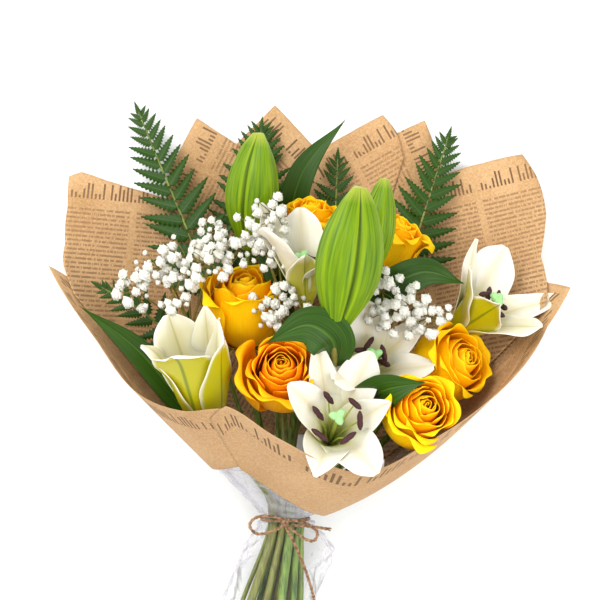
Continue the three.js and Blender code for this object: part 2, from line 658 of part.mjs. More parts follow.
// A ruffled little ball of petals on its thin twig, as double gypsophila has.
function floret(from, to, radius) {
  const way = to.clone().sub(from).normalize();
  const out = (reach) => to.clone().addScaledVector(way, reach * radius);
  return rod([from, out(-0.9), out(-0.2), out(0.7)], [0.5, 0.5, radius, 0.55 * radius], 5);
}

// ---------------------------------------------------------------- putting the bouquet together
const bouquet = new THREE.Group();
const done = [];                   // the solids that are in place, with their names

// A copy of a solid that is a little fatter all over.
function grown(solid, by) {
  const geometry = geometryOf(solid);
  const place = geometry.attributes.position;
  const normal = geometry.attributes.normal;
  for (let k = 0; k < place.count; k += 1) {
    const point = new THREE.Vector3().fromBufferAttribute(place, k);
    point.addScaledVector(new THREE.Vector3().fromBufferAttribute(normal, k), by);
    place.setXYZ(k, point.x, point.y, point.z);
  }
  return solidOf(geometry);
}

function boxesMeet(a, b, room = 1) {
  const [p, q] = [a.boundingBox(), b.boundingBox()];
  return [0, 1, 2].every((k) => p.min[k] < q.max[k] + room && q.min[k] < p.max[k] + room);
}

// The main body of a solid: loose scraps are dropped, and sealed hollows are filled.
const largest = (solid) => solid.decompose().sort((a, b) => b.volume() - a.volume())[0];

// Is there room for this solid beside all that is in place?
const isClear = (solid) => done.every((one) => (
  !boxesMeet(solid, one.solid, 0) || solid.intersect(one.solid).isEmpty()
));

// Sets a piece in its place. Where it would press into one that is there already, it gives way.
function addPiece(name, solid, colour, roughness) {
  let piece = largest(solid);
  for (const one of done) {
    if (!boxesMeet(piece, one.solid) || piece.intersect(one.grown).isEmpty()) continue;
    piece = largest(piece.subtract(one.grown));
  }
  done.push({ name, solid: piece, grown: grown(piece, TRIM_GAP) });
  const finish = { color: colour, roughness, metalness: 0, flatShading: true };
  const material = new THREE.MeshStandardMaterial(finish);
  const mesh = new THREE.Mesh(geometryOf(piece), material);
  mesh.name = name;
  bouquet.add(mesh);
}

const YELLOW = 0xf7b500;
const ORANGE = 0xf09010;
const CREAM = 0xf3efdc;
const LIME = 0x93b818;
const HEART_GREEN = 0xa9cf86;
const STEM_GREEN = 0x5d8a2f;
const LEAF_GREEN = 0x2c5422;
const FERN_GREEN = 0x2f5e20;
const WHITE = 0xf4f4ee;
const KRAFT = 0xd7a877;
const CLEAR_GREY = 0xdfe3e6;
const JUTE = 0xb07c4e;

const lilyStems = {
  lily_1: () => [
    mainStem('lily_1', [...LILIES.lily_1.via, ...stemTop(LILIES.lily_1)], 2.8),
    leaf([[-60, -113, 70], [-92, -82, 72], [-130, -38, 80], [-175, -4, 82]], 27, [0.2, -0.2, 1], 0.2, 1.5),
  ],
  lily_2: () => [mainStem('lily_2', [...LILIES.lily_2.via, ...stemTop(LILIES.lily_2)], 2.8)],
  lily_3: () => [
    mainStem('lily_3', [...LILIES.lily_3.via, ...stemTop(LILIES.lily_3)], 2.8),
    rod([[-2, -62, 58], [-6, -34, 46], [-16, -4, 36], [-32, 20, 41], ...stemTop(BUDS.bud_1)], 2.2),
    leaf([[-14, -8, 36], [-12, 40, 22], [2, 104, 30], [38, 148, 30]], 25, [0, -0.1, 1], 0.2, 1),
    leaf([[0, -30, 70], [-17, 10, 76], [-27, 50, 82], [-18, 88, 84]], 17, [-0.3, 0, 1], 0.3),
  ],
  lily_4: () => [
    mainStem('lily_4', [
      [5, -130, 52], [14, -100, 64], [22, -76, 84], [25, -58, 108], [26, -44, 128],
      ...stemTop(BUDS.bud_2),
    ], 2.8),
    rod([[16, -96, 67], [30, -86, 60], ...stemTop(LILIES.lily_4)], 2.4),
    rod([[23, -70, 90], [26, -48, 84], [36, -22, 82], [50, 0, 90], ...stemTop(BUDS.bud_3)], 2),
    leaf([[25.5, -51, 118], [24, -40, 148], [4, -32, 158], [-27, -33, 155]], 25, [0, -0.5, 1], 0.25, 1),
    leaf([[49.5, -1, 90], [72, 12, 97], [98, 22, 96], [129, 13, 88]], 28, [0, -0.2, 1], 0.2, 1),
    leaf([[37.6, -76.3, 60], [50, -79, 96], [68, -66, 136], [98, -66, 151]], 24, [0, -0.6, 1], 0.2),
  ],
  lily_5: () => [mainStem('lily_5', [...LILIES.lily_5.via, ...stemTop(LILIES.lily_5)], 2.8)],
};

// The last two points of a stem, which meets its bloom or bud square on.
function stemTop({ base, axis }) {
  return [-9, -0.65].map((back) => vec(base).addScaledVector(vec(axis).normalize(), back).toArray());
}

for (const [name, rose] of Object.entries(ROSES)) {
  const colour = name === 'rose_2' ? ORANGE : YELLOW;
  addPiece(`${name}_bloom`, placed(roseBloom(rose), rose.base, rose.axis, rose.turn), colour, 0.6);
}
for (const [name, lily] of Object.entries(LILIES)) {
  addPiece(`${name}_bloom`, placed(lilyBloom(lily), lily.base, lily.axis, lily.turn), CREAM, 0.5);
}
for (const [name, bud] of Object.entries(BUDS)) {
  addPiece(name, placed(lilyBud(bud), bud.base, bud.axis, bud.turn), LIME, 0.45);
}
for (const [name, rose] of Object.entries(ROSES)) {
  const foot = vec(rose.base).addScaledVector(vec(rose.axis).normalize(), -0.25 * rose.radius).toArray();
  const cup = placed(roseCup(rose.radius), rose.base, rose.axis, rose.turn);
  addPiece(`${name}_stem`, fuse([mainStem(name, [...rose.via, foot], 2.6), cup]), STEM_GREEN, 0.6);
}
for (const name of Object.keys(LILIES)) {
  addPiece(`${name}_stem`, fuse(lilyStems[name]()), LEAF_GREEN, 0.55);
}
for (const [name, lily] of Object.entries(LILIES)) {
  addPiece(`${name}_centre`, placed(lilyCentre(lily), lily.base, lily.axis, lily.turn), HEART_GREEN, 0.6);
}

// The stem of each fern passes the points of via, and its frond grows along path.
const FERNS = {
  fern_1: {
    via: [[-44, -104, 30], [-68, -30, 28]], leaflets: 8, reach: 46,
    path: [[-74, 0, 27], [-88, 46, 22], [-112, 104, 15], [-133, 155, 13]],
  },
  fern_2: {
    via: [[-20, -80, 14]], leaflets: 6, reach: 42,
    path: [[-30, 0, 11], [-35, 50, 10], [-36, 100, 9], [-32, 142, 9]],
  },
  fern_3: {
    via: [[36, -90, 20], [66, -30, 20]], leaflets: 7, reach: 44,
    path: [[78, 0, 20], [92, 40, 16], [108, 90, 13], [122, 134, 13]],
  },
  fern_4: {
    via: [[4, -80, 13]], leaflets: 5, reach: 34,
    path: [[18, 0, 11], [25, 30, 10], [29, 70, 9], [31, 116, 9]],
  },
  fern_5: {
    via: [[-46, -124, 52]], leaflets: 4, reach: 26,
    path: [[-78, -56, 60], [-104, -28, 63], [-130, -6, 65], [-158, 10, 66]],
  },
};
for (const [name, fern] of Object.entries(FERNS)) {
  const curve = curveThrough(fern.path);
  const sunk = curve.getPointAt(0.1).toArray();
  const stem = mainStem(name, [...fern.via, fern.path[0], sunk], 1.1, 5);
  addPiece(name, fuse([stem, frond({ ...fern, facing: [0, -0.1, 1] })]), FERN_GREEN, 0.6);
}

// The stem of each spray passes the points of via and forks to the hubs, where the florets sit.
const SPRAYS = {
  gypsophila_1: {
    via: [[-46, -110, 56], [-82, -60, 64], [-86, -22, 78]], seed: 11, florets: 18,
    hubs: [
      [-128, 6, 88], [-112, 26, 84], [-98, 8, 96], [-90, 34, 88], [-70, 28, 104], [-66, 50, 84],
      [-48, 40, 96],
    ],
  },
  gypsophila_2: {
    via: [[-14, -90, 54], [-11, -34, 74], [-12, -6, 85]], seed: 5, florets: 6,
    hubs: [[-26, 38, 94], [-34, 56, 94], [-22, 68, 96]],
  },
  gypsophila_3: {
    via: [[-18, -118, 50], [-16, -60, 60], [-9, -28, 84]], seed: 23, florets: 5,
    hubs: [[-8, -12, 96], [-20, -2, 98]],
  },
  gypsophila_4: {
    via: [[16, -110, 48], [58, -56, 58], [72, -26, 84]], seed: 31, florets: 9,
    hubs: [[72, -8, 108], [88, -6, 108], [64, 6, 108], [100, -14, 104]],
  },
};
const FLORET = 5.2;                // radius of a floret

function spray(name, { via, seed, florets, hubs }) {
  const random = randomFrom(seed);
  const fork = via[via.length - 1];
  const parts = [mainStem(name, via, 1.2, 5)];
  const heads = [];
  for (const hub of hubs) {
    const bend = vec(fork).lerp(vec(hub), 0.5).add(vec([0, 0, -4])).toArray();
    parts.push(rod([fork, bend, hub], [1.1, 0.9, 0.8], 4));
    parts.push(solidOf(new THREE.OctahedronGeometry(2.3).translate(...hub)));
  }
  for (let tries = 0; heads.length < florets && tries < florets * 14; tries += 1) {
    const hub = vec(hubs[tries % hubs.length]);
    const swing = random() * 2 * Math.PI;
    const rise = 0.15 + 0.85 * random();
    const reach = 9 + 13 * random();
    const flat = Math.sqrt(1 - rise * rise);
    const way = new THREE.Vector3(flat * Math.cos(swing), flat * Math.sin(swing), rise);
    const head = hub.clone().addScaledVector(way, reach);
    const bloom = floret(hub, head, FLORET * (0.85 + 0.3 * random()));
    const crowded = heads.some((other) => other.distanceTo(head) < 1.8 * FLORET);
    if (crowded || !isClear(grown(bloom, GAP))) continue;
    heads.push(head);
    parts.push(bloom);
  }
  return fuse(parts);
}
for (const [name, one] of Object.entries(SPRAYS)) addPiece(name, spray(name, one), WHITE, 0.8);

backSheets.forEach((sheet, k) => addPiece(`paper_back_${k + 1}`, sheet, KRAFT, 0.85));
addPiece('paper_left', leftSheet, KRAFT, 0.85);
addPiece('paper_front', frontSheet, KRAFT, 0.85);
addPiece('film_sleeve', film, CLEAR_GREY, 0.15);

// The twine: one turn round the film, a knot on top, and two loops of a bow.
const TWINE_RADIUS = TWINE / 2;
const ring = new THREE.TorusGeometry(NECK + TWINE_RADIUS, TWINE_RADIUS, 5, 18).rotateX(Math.PI / 2);
const KNOT = [TIE[0], TIE[1] - 1, TIE[2] + NECK + TWINE * 0.8];
const LOOPS = [
  [[-24, -173.5, 54], [-36, -175, 55], [-40.5, -181, 54.5], [-35, -187.5, 54.5], [-23, -186, 55]],
  [[-1, -177.5, 54], [8, -181, 55], [14, -187, 56], [11, -193, 57], [3, -191, 57.5], [-5, -185, 56]],
];
const inKnot = (y) => [KNOT[0], KNOT[1] + y, KNOT[2]];
const loop = (points) => curveThrough([inKnot(1.8), ...points, inKnot(-1.8)]).getPoints(14);
const bow = [
  solidOf(ring.translate(...TIE)),
  solidOf(new THREE.SphereGeometry(1, 6, 4).scale(3.6, 3.2, 2.8).translate(...KNOT)),
  ...LOOPS.map((points) => rod(loop(points), TWINE_RADIUS, 4)),
];
addPiece('twine_tie', fuse(bow), JUTE, 0.9);

// The two loose ends of the twine lie on the film's skirt below the knot.
const TAILS = {
  twine_tail_long: [
    [-11.3, -182.9, 52.8], [-7, -190, 57], [-4, -196, 59.5], [-1, -203, 60.8], [2, -210, 61],
    [5, -218, 60], [7.5, -226, 58], [10, -235, 55], [12, -244, 52], [13.5, -250, 50],
  ],
  twine_tail_short: [
    [-6.4, -181.2, 53], [0, -181.5, 51], [9, -182.5, 49], [18, -184, 47], [25, -185.5, 44],
  ],
};

function cord(points) {
  const section = new THREE.Shape().absarc(0, 0, TWINE_RADIUS, 0, 2 * Math.PI);
  const path = curveThrough(points);
  const steps = Math.round(path.getLength() / (2.4 * TWINE));
  return solidOf(new THREE.ExtrudeGeometry(section, { extrudePath: path, steps, curveSegments: 4 }));
}
for (const [name, points] of Object.entries(TAILS)) addPiece(name, cord(points), JUTE, 0.9);

export default bouquet;
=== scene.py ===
# A mixed bouquet lying on its back on a pale studio floor: yellow roses, white lilies with
# buds, fern and double gypsophila in printed kraft paper over clear film, tied with jute twine.
# Lengths are in millimetres, as a florist measures them, until a mesh is made in metres.
import math

import bpy
import numpy as np
from mathutils import Matrix


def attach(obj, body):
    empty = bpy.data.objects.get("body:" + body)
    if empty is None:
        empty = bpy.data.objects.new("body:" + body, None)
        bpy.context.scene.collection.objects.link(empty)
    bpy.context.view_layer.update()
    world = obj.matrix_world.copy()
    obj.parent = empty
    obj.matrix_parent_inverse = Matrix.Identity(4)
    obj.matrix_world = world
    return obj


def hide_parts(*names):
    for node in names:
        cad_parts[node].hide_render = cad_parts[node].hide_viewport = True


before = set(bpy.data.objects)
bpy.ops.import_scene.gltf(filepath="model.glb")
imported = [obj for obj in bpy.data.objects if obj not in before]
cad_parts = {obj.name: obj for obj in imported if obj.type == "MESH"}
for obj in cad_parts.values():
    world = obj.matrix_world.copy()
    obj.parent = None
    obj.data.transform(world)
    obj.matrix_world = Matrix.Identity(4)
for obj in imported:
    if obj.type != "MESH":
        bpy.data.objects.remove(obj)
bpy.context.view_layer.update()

# ---------------------------------------------------------------- camera, floor and light
# The photograph looks straight at the bouquet's face, so the camera hangs over it as it lies.
# A white floor, two broad soft lights and a bright room leave hardly any shadow.
MM = 0.001
CAMERA_HEIGHT = 1660
VIEW_ACROSS = 480                  # what the picture spans, 60 mm above the floor
VIEW_LEVEL = 60
FLOOR_REACH = 3                    # metres from the middle of the floor to its sides
FLOOR_GAP = 0.4                    # the floor lies this far under the bouquet


def linear(hex_colour):
    """The linear colour, with alpha, of an sRGB hex value."""
    parts = [int(hex_colour[k:k + 2], 16) / 255 for k in (0, 2, 4)]
    return [p / 12.92 if p <= 0.04045 else ((p + 0.055) / 1.055) ** 2.4 for p in parts] + [1.0]


def node(tree, kind, links=None, **settings):
    """A new node of a tree: settings are its options or input values, links are input sockets."""
    made = tree.nodes.new(kind)
    for key, value in settings.items():
        if key.startswith("in_"):
            place = key[3:]
            made.inputs[int(place) if place.isdigit() else place.replace("_", " ")].default_value = value
        else:
            setattr(made, key, value)
    for place, socket in (links or {}).items():
        tree.links.new(socket, made.inputs[place])
    return made


def skin(name, **inputs):
    """A new material with its node tree and shader: inputs are the shader's plain values."""
    made = bpy.data.materials.new(name)
    made.use_nodes = True
    shade = made.node_tree.nodes["Principled BSDF"]
    for key, value in inputs.items():
        shade.inputs[key.replace("_", " ")].default_value = value
    return made, made.node_tree, shade


camera = bpy.data.objects.new("camera", bpy.data.cameras.new("camera"))
camera.location = (0, 0, CAMERA_HEIGHT * MM)
camera.data.sensor_fit = "HORIZONTAL"
camera.data.angle = 2 * math.atan(VIEW_ACROSS / 2 / (CAMERA_HEIGHT - VIEW_LEVEL))
bpy.context.scene.collection.objects.link(camera)
bpy.context.scene.camera = camera
bpy.context.scene.view_settings.view_transform = "Standard"

floor_mesh = bpy.data.meshes.new("floor")
floor_corners = [(x * FLOOR_REACH, y * FLOOR_REACH, 0) for x, y in ((-1, -1), (1, -1), (1, 1), (-1, 1))]
floor_mesh.from_pydata(floor_corners, [], [(0, 1, 2, 3)])
floor = bpy.data.objects.new("floor", floor_mesh)
floor.location.z = -FLOOR_GAP * MM
bpy.context.scene.collection.objects.link(floor)
painted_board, _, _ = skin("painted_board", Base_Color=linear("f7f7f7"), Roughness=0.9)
floor_mesh.materials.append(painted_board)

SOFT_LIGHTS = {
    "window_light": {"at": (-0.9, 0.8, 1.5), "side": 1.3, "watts": 27},
    "fill_light": {"at": (1.0, -0.5, 1.5), "side": 1.4, "watts": 15},
}
for light_name, light in SOFT_LIGHTS.items():
    lamp_data = bpy.data.lights.new(light_name, "AREA")
    lamp_data.energy = light["watts"]
    lamp_data.shape = "SQUARE"
    lamp_data.size = light["side"]
    lamp = bpy.data.objects.new(light_name, lamp_data)
    lamp.location = light["at"]
    x, y, z = light["at"]
    lamp.rotation_euler = (math.atan2(math.hypot(x, y), z), 0, math.atan2(x, -y))
    bpy.context.scene.collection.objects.link(lamp)
room = bpy.data.worlds.new("white_room")
room.use_nodes = True
room.node_tree.nodes["Background"].inputs["Color"].default_value = linear("ffffff")
room.node_tree.nodes["Background"].inputs["Strength"].default_value = 1.08
bpy.context.scene.world = room

# ---------------------------------------------------------------- jute twine
# One turn of two-ply jute binds the bundle and is tied in a bow, whose two loose ends lie on
# the film. Each ply is a rope of hairy brown fibre, wound round the other.
TIE = np.array([-12.0, -178.0, 30.0])  # the middle of the bundle where it is tied
NECK = 17.88                       # radius of the wrap at the tie
TWINE = 2.8
STRAND = 0.3 * TWINE               # radius of one ply
STRAND_OFF = 0.2 * TWINE           # how far a ply lies from the middle of the twine
LAY = 7.5                          # length in which the plies wind round once
FRAYED = 5                         # length of a loose end that untwists
CURVE_STEPS = 400                  # how finely a curve is measured


def smooth_path(points, share, closed=False):
    """Places on a centripetal Catmull-Rom curve through the points, at shares of its spans."""
    knots = np.asarray(points, float)
    if closed:
        knots = np.vstack([knots[-1:], knots, knots[:2]])
    else:
        knots = np.vstack([2 * knots[0] - knots[1], knots, 2 * knots[-1] - knots[-2]])
    spans = len(knots) - 3
    place = np.asarray(share, float) * spans
    if closed:
        place = place % spans
    first = np.clip(np.floor(place), 0, spans - 1).astype(int)
    w = (place - first)[..., None]
    p0, p1, p2, p3 = (knots[first + k] for k in range(4))
    gaps = [np.linalg.norm(b - a, axis=-1, keepdims=True) for a, b in ((p0, p1), (p1, p2), (p2, p3))]
    d0, d1, d2 = (np.sqrt(np.maximum(gap, 1e-9)) for gap in gaps)
    t1 = ((p1 - p0) / d0 - (p2 - p0) / (d0 + d1) + (p2 - p1) / d1) * d1
    t2 = ((p2 - p1) / d1 - (p3 - p1) / (d1 + d2) + (p3 - p2) / d2) * d1
    bend = -3 * p1 + 3 * p2 - 2 * t1 - t2
    return p1 + w * t1 + w ** 2 * bend + w ** 3 * (2 * p1 - 2 * p2 + t1 + t2)


def reach_along(path):
    """The length of a path up to each of its points."""
    return np.concatenate([[0], np.cumsum(np.linalg.norm(np.diff(path, axis=0), axis=1))])


def profile(values, share):
    """A smooth line through values at even places, at shares of the way along them."""
    return smooth_path([[value, 0, 0] for value in values], share)[:, 0]


def even_path(points, steps, closed=False):
    """The same curve at even steps of its length."""
    fine = smooth_path(points, np.linspace(0, 1, CURVE_STEPS), closed)
    reach = reach_along(fine)
    wanted = np.linspace(0, reach[-1], steps + 1)
    return np.stack([np.interp(wanted, reach, fine[:, k]) for k in range(3)], axis=1)


def unit(v):
    """Each vector at a length of one."""
    return v / np.maximum(np.linalg.norm(v, axis=-1, keepdims=True), 1e-12)


def path_frames(path, closed=False):
    """Two directions square to a path at each of its points, carried along without twist."""
    if closed:
        ahead = unit(np.roll(path, -1, axis=0) - np.roll(path, 1, axis=0))
    else:
        ahead = unit(np.gradient(path, axis=0))
    side = np.empty_like(path)
    now = np.array([0.31, 0.22, 0.92])
    for k, way in enumerate(ahead):
        now = now - way * np.dot(now, way)
        now = now / np.linalg.norm(now)
        side[k] = now
    return ahead, side, np.cross(ahead, side)


def mesh_piece(name, points, faces, uv=None, values=None):
    """An object from points in millimetres. uv has one row a point, values named point numbers."""
    mesh = bpy.data.meshes.new(name)
    mesh.from_pydata((np.asarray(points) * MM).tolist(), [], faces)
    if uv is not None:
        corner_points = np.empty(len(mesh.loops), dtype=np.int32)
        mesh.loops.foreach_get("vertex_index", corner_points)
        layer = mesh.uv_layers.new(name="UVMap")
        layer.data.foreach_set("uv", np.asarray(uv, float)[corner_points].ravel())
    for key, numbers in (values or {}).items():
        attribute = mesh.attributes.new(key, "FLOAT", "POINT")
        attribute.data.foreach_set("value", np.asarray(numbers, float).ravel())
    mesh.shade_smooth()
    made = bpy.data.objects.new(name, mesh)
    bpy.context.scene.collection.objects.link(made)
    return made


def tube(path, radii, sides=10, closed=False):
    """Points, faces and mm coordinates of a round tube, with ends closed by a fan."""
    count = len(path)
    _, side, up = path_frames(path, closed)
    radii = np.broadcast_to(np.asarray(radii, float), (count,))
    angles = 2 * np.pi * np.arange(sides) / sides
    ring = side[:, None] * np.cos(angles)[None, :, None] + up[:, None] * np.sin(angles)[None, :, None]
    points = (path[:, None] + ring * radii[:, None, None]).reshape(-1, 3)
    reach = reach_along(path)
    uv = np.stack([np.tile(np.arange(sides) / sides, count), np.repeat(reach, sides)], axis=1)
    faces = []
    for k in range(count if closed else count - 1):
        nxt = (k + 1) % count
        for s in range(sides):
            t = (s + 1) % sides
            faces.append([k * sides + s, k * sides + t, nxt * sides + t, nxt * sides + s])
    if not closed:
        points = np.vstack([points, path[:1], path[-1:]])
        uv = np.vstack([uv, [[0.5, reach[0]], [0.5, reach[-1]]]])
        base = count * sides
        for s in range(sides):
            t = (s + 1) % sides
            faces.append([base, t, s])
            faces.append([base + 1, base - sides + s, base - sides + t])
    return points, faces, uv


class Parts:
    """Gathers tubes and nets of one piece into one mesh."""

    def __init__(self):
        self.points = np.zeros((0, 3))
        self.faces = []
        self.uv = np.zeros((0, 2))
        self.values = {}

    def add(self, points, faces, uv, **values):
        """Adds one net, with a named value for all of its points or for each."""
        start = len(self.points)
        self.points = np.vstack([self.points, points])
        self.faces += [[p + start for p in face] for face in faces]
        self.uv = np.vstack([self.uv, uv])
        for key, value in values.items():
            old = self.values.get(key, np.zeros(start))
            new = np.broadcast_to(np.asarray(value, float), (len(points),))
            self.values[key] = np.concatenate([old, new])
        for key in self.values:
            if len(self.values[key]) < len(self.points):
                missing = len(self.points) - len(self.values[key])
                self.values[key] = np.concatenate([self.values[key], np.zeros(missing)])

    def piece(self, name):
        """All that was added, as one object."""
        return mesh_piece(name, self.points, self.faces, self.uv, self.values)


def ramp(made, *stops):
    """Sets the stops of a colour ramp: each has its place and its sRGB colour."""
    elements = made.color_ramp.elements
    for k in (0, -1):
        elements[k].position = stops[k][0]
        elements[k].color = linear(stops[k][1])
    for place, colour in stops[1:-1]:
        elements.new(place).color = linear(colour)


# Jute is a dull brown bast fibre: no gloss, with pale and dark hairs that run along each ply.
jute, tree, shade = skin("spun_jute", Roughness=0.95, Sheen_Weight=0.2)
spot = node(tree, "ShaderNodeTexCoord")
FIBRE = 0.35                       # mm across a fibre, drawn about twice as coarse as it is
hair_scale = 1 / (FIBRE * 6 * MM)
hair_at = {"Vector": spot.outputs["Object"]}
hair = node(tree, "ShaderNodeTexNoise", hair_at, in_Scale=hair_scale, in_Detail=4.0)
tint = node(tree, "ShaderNodeValToRGB", {"Fac": hair.outputs["Fac"]})
ramp(tint, (0.36, "5c3f28"), (0.64, "ad855f"))
tree.links.new(tint.outputs["Color"], shade.inputs["Base Color"])
hair_height = {"Height": hair.outputs["Fac"]}
fuzz = node(tree, "ShaderNodeBump", hair_height, in_Strength=0.7, in_Distance=0.3 * MM)
tree.links.new(fuzz.outputs["Normal"], shade.inputs["Normal"])

TAILS = {
    "twine_tail_long": [
        [-11.3, -182.9, 52.8], [-7, -190, 57], [-4, -196, 59.5], [-1, -203, 60.8], [2, -210, 61],
        [5, -218, 60], [7.5, -226, 58], [10, -235, 55], [12, -244, 52], [13.5, -250, 50],
    ],
    "twine_tail_short": [
        [-6.4, -181.2, 53], [0, -181.5, 51], [9, -182.5, 49], [18, -184, 47], [25, -185.5, 44],
    ],
}


def two_ply(parts, path, closed=False, frayed=0):
    """Winds two plies round a path. The last of an open one untwists into a small brush."""
    _, side, up = path_frames(path, closed)
    reach = reach_along(path)
    turns = 2 * np.pi * reach / LAY
    if closed:
        turns = 2 * np.pi * np.round(reach[-1] / LAY) * np.arange(len(path)) / len(path)
    for ply in range(2):
        angle = turns + np.pi * ply
        off = np.full(len(path), STRAND_OFF)
        if frayed:
            off = off * (1 + 0.8 * np.clip((reach - reach[-1] + frayed) / frayed, 0, 1))
        line = path + off[:, None] * (side * np.cos(angle)[:, None] + up * np.sin(angle)[:, None])
        thick = np.full(len(path), STRAND)
        if frayed:
            thick = thick * (1 - 0.35 * np.clip((reach - reach[-1] + 2) / 2, 0, 1))
        parts.add(*tube(line, thick, 8, closed))


for tail_name, tail in TAILS.items():
    fine = smooth_path(tail, np.linspace(0, 1, CURVE_STEPS))
    length = float(np.linalg.norm(np.diff(fine, axis=0), axis=1).sum())
    middle = even_path(tail, max(14, round(length)))
    end = Parts()
    two_ply(end, middle, frayed=FRAYED)
    loose_end = end.piece(tail_name + "_plies")
    loose_end.data.materials.append(jute)
    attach(loose_end, "root")
    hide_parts(tail_name)

KNOT = np.array([TIE[0], TIE[1] - 1, TIE[2] + NECK + TWINE * 0.8])
LOOPS = [
    [[-24, -173.5, 54], [-36, -175, 55], [-40.5, -181, 54.5], [-35, -187.5, 54.5], [-23, -186, 55]],
    [[-1, -177.5, 54], [8, -181, 55], [14, -187, 56], [11, -193, 57], [3, -191, 57.5], [-5, -185, 56]],
]
bow = Parts()
around = np.linspace(0, 2 * np.pi, 150, endpoint=False)
ring_reach = NECK + TWINE / 2
ring = TIE + ring_reach * np.stack([np.cos(around), 0 * around, np.sin(around)], axis=1)
two_ply(bow, ring, closed=True)
for loop_points in LOOPS:
    start, finish = KNOT + [0, 1.8, 0], KNOT - [0, 1.8, 0]
    two_ply(bow, even_path([start, *loop_points, finish], 90))
# The knot is three short turns of the same twine, drawn tight and tilted each way.
KNOT_TILTS = (20, 95, 150)
KNOT_REACH = 1.9
for k, degrees in enumerate(KNOT_TILTS):
    swing = np.linspace(0, 2 * np.pi, 30, endpoint=False)
    tilt = math.radians(degrees)
    across, deep = np.cos(swing), np.sin(swing)
    round_it = np.stack([KNOT_REACH * across, 1.5 * deep * math.cos(tilt), KNOT_REACH * deep], axis=1)
    round_it[:, 1] += 1.2 * deep * math.sin(tilt) + (k - 1) * 1.1
    two_ply(bow, KNOT + round_it, closed=True)
tie = bow.piece("twine_bow")
tie.data.materials.append(jute)
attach(tie, "root")
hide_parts("twine_tie")

# ---------------------------------------------------------------- stems
# Twenty cut stems are drawn together by the twine until they touch, and spread above and below
# it like a sheaf. They are fresh green stalks with paler cut ends.
ROSE_STEM, LILY_STEM, FERN_STEM, GYP_STEM = 3.0, 3.6, 1.9, 1.6
STEM_END_Y = -290
CLEARANCE = 0.35                   # between two stems, or two layers of the wrap
PULL_ROUNDS, ALL_ROUNDS = 800, 900 # rounds in which the stems are drawn in, and all rounds
STALK_STEPS = 90
# Each stem: its radius, and where it heads for above the tie, across and up.
STEMS = {
    "rose_1": (ROSE_STEM, -33, 24), "rose_2": (ROSE_STEM, 2, 66), "rose_3": (ROSE_STEM, 95, 66),
    "rose_4": (ROSE_STEM, 112, 35), "rose_5": (ROSE_STEM, 16, 4), "rose_6": (ROSE_STEM, 62, 8),
    "lily_1": (LILY_STEM, -62, 60), "lily_2": (LILY_STEM, 38, 72), "lily_3": (LILY_STEM, 6, 28),
    "lily_4": (LILY_STEM, 34, 44), "lily_5": (LILY_STEM, 110, 6),
    "fern_1": (FERN_STEM, -50, -2), "fern_2": (FERN_STEM, -16, -22), "fern_3": (FERN_STEM, 62, -20),
    "fern_4": (FERN_STEM, 16, -24), "fern_5": (FERN_STEM, -74, 28),
    "gypsophila_1": (GYP_STEM, -56, 44), "gypsophila_2": (GYP_STEM, -10, 40),
    "gypsophila_3": (GYP_STEM, -12, 60), "gypsophila_4": (GYP_STEM, 62, 42),
}


def pack_stems():
    """Where each stem passes the tie: they are drawn in and pushed apart, round after round."""
    at = {name: [x * 0.3, z * 0.3] for name, (_, x, z) in STEMS.items()}
    for turn in range(ALL_ROUNDS):
        pull = 0.994 if turn < PULL_ROUNDS else 1
        for place in at.values():
            place[0] *= pull
            place[1] *= pull
        for one, a in at.items():
            for other, b in at.items():
                if one == other:
                    continue
                dx, dz = a[0] - b[0], a[1] - b[1]
                apart = math.hypot(dx, dz) or 0.01
                short = STEMS[one][0] + STEMS[other][0] + CLEARANCE - apart
                if short <= 0:
                    continue
                push = short / 2 / apart
                a[0] += dx * push
                a[1] += dz * push
                b[0] -= dx * push
                b[1] -= dz * push
    return at


TIED = pack_stems()


def stem_route(name, points):
    """A stem from its cut end through the tie to the points given."""
    x, z = TIED[name]
    route = []
    stations = (
        (STEM_END_Y, 2.5, -22, 6), ((TIE[1] + STEM_END_Y) / 2, 1.7, -10, 2.5),
        (TIE[1] - 14, 1.06, -1.5, 0.3), (TIE[1], 1, 0, 0), (TIE[1] + 14, 1.1, 0, 1),
    )
    for y, spread, lean, lift in stations:
        route.append([TIE[0] + x * spread + lean, y, TIE[2] + z * spread * 0.92 + lift])
    return route + [list(p) for p in points]


# A fresh stalk: a waxy green skin with long pale streaks. "cut" is 1 at the sawn end, where the
# wet pith shows, and "tone" moves each stalk a little towards yellow or brown.
stalk, tree, shade = skin("fresh_stalk", Roughness=0.42)
spot = node(tree, "ShaderNodeTexCoord")
drawn = node(tree, "ShaderNodeMapping", {"Vector": spot.outputs["Object"]}, in_Scale=(420, 45, 420))
streak = node(tree, "ShaderNodeTexNoise", {"Vector": drawn.outputs["Vector"]}, in_Scale=1.0, in_Detail=3.0)
green = node(tree, "ShaderNodeValToRGB", {"Fac": streak.outputs["Fac"]})
ramp(green, (0.35, "37560f"), (0.68, "7c9a38"))
tone = node(tree, "ShaderNodeAttribute", attribute_name="tone")
tone_mix = {0: tone.outputs["Fac"], 6: green.outputs["Color"]}
aged = node(tree, "ShaderNodeMix", tone_mix, data_type="RGBA", in_7=linear("7d6426"))
cut = node(tree, "ShaderNodeAttribute", attribute_name="cut")
cut_mix = {0: cut.outputs["Fac"], 6: aged.outputs[2]}
pith = node(tree, "ShaderNodeMix", cut_mix, data_type="RGBA", in_7=linear("dfe3a6"))
tree.links.new(pith.outputs[2], shade.inputs["Base Color"])
ridges = node(
    tree, "ShaderNodeBump", {"Height": streak.outputs["Fac"]}, in_Strength=0.35, in_Distance=0.3 * MM,
)
tree.links.new(ridges.outputs["Normal"], shade.inputs["Normal"])


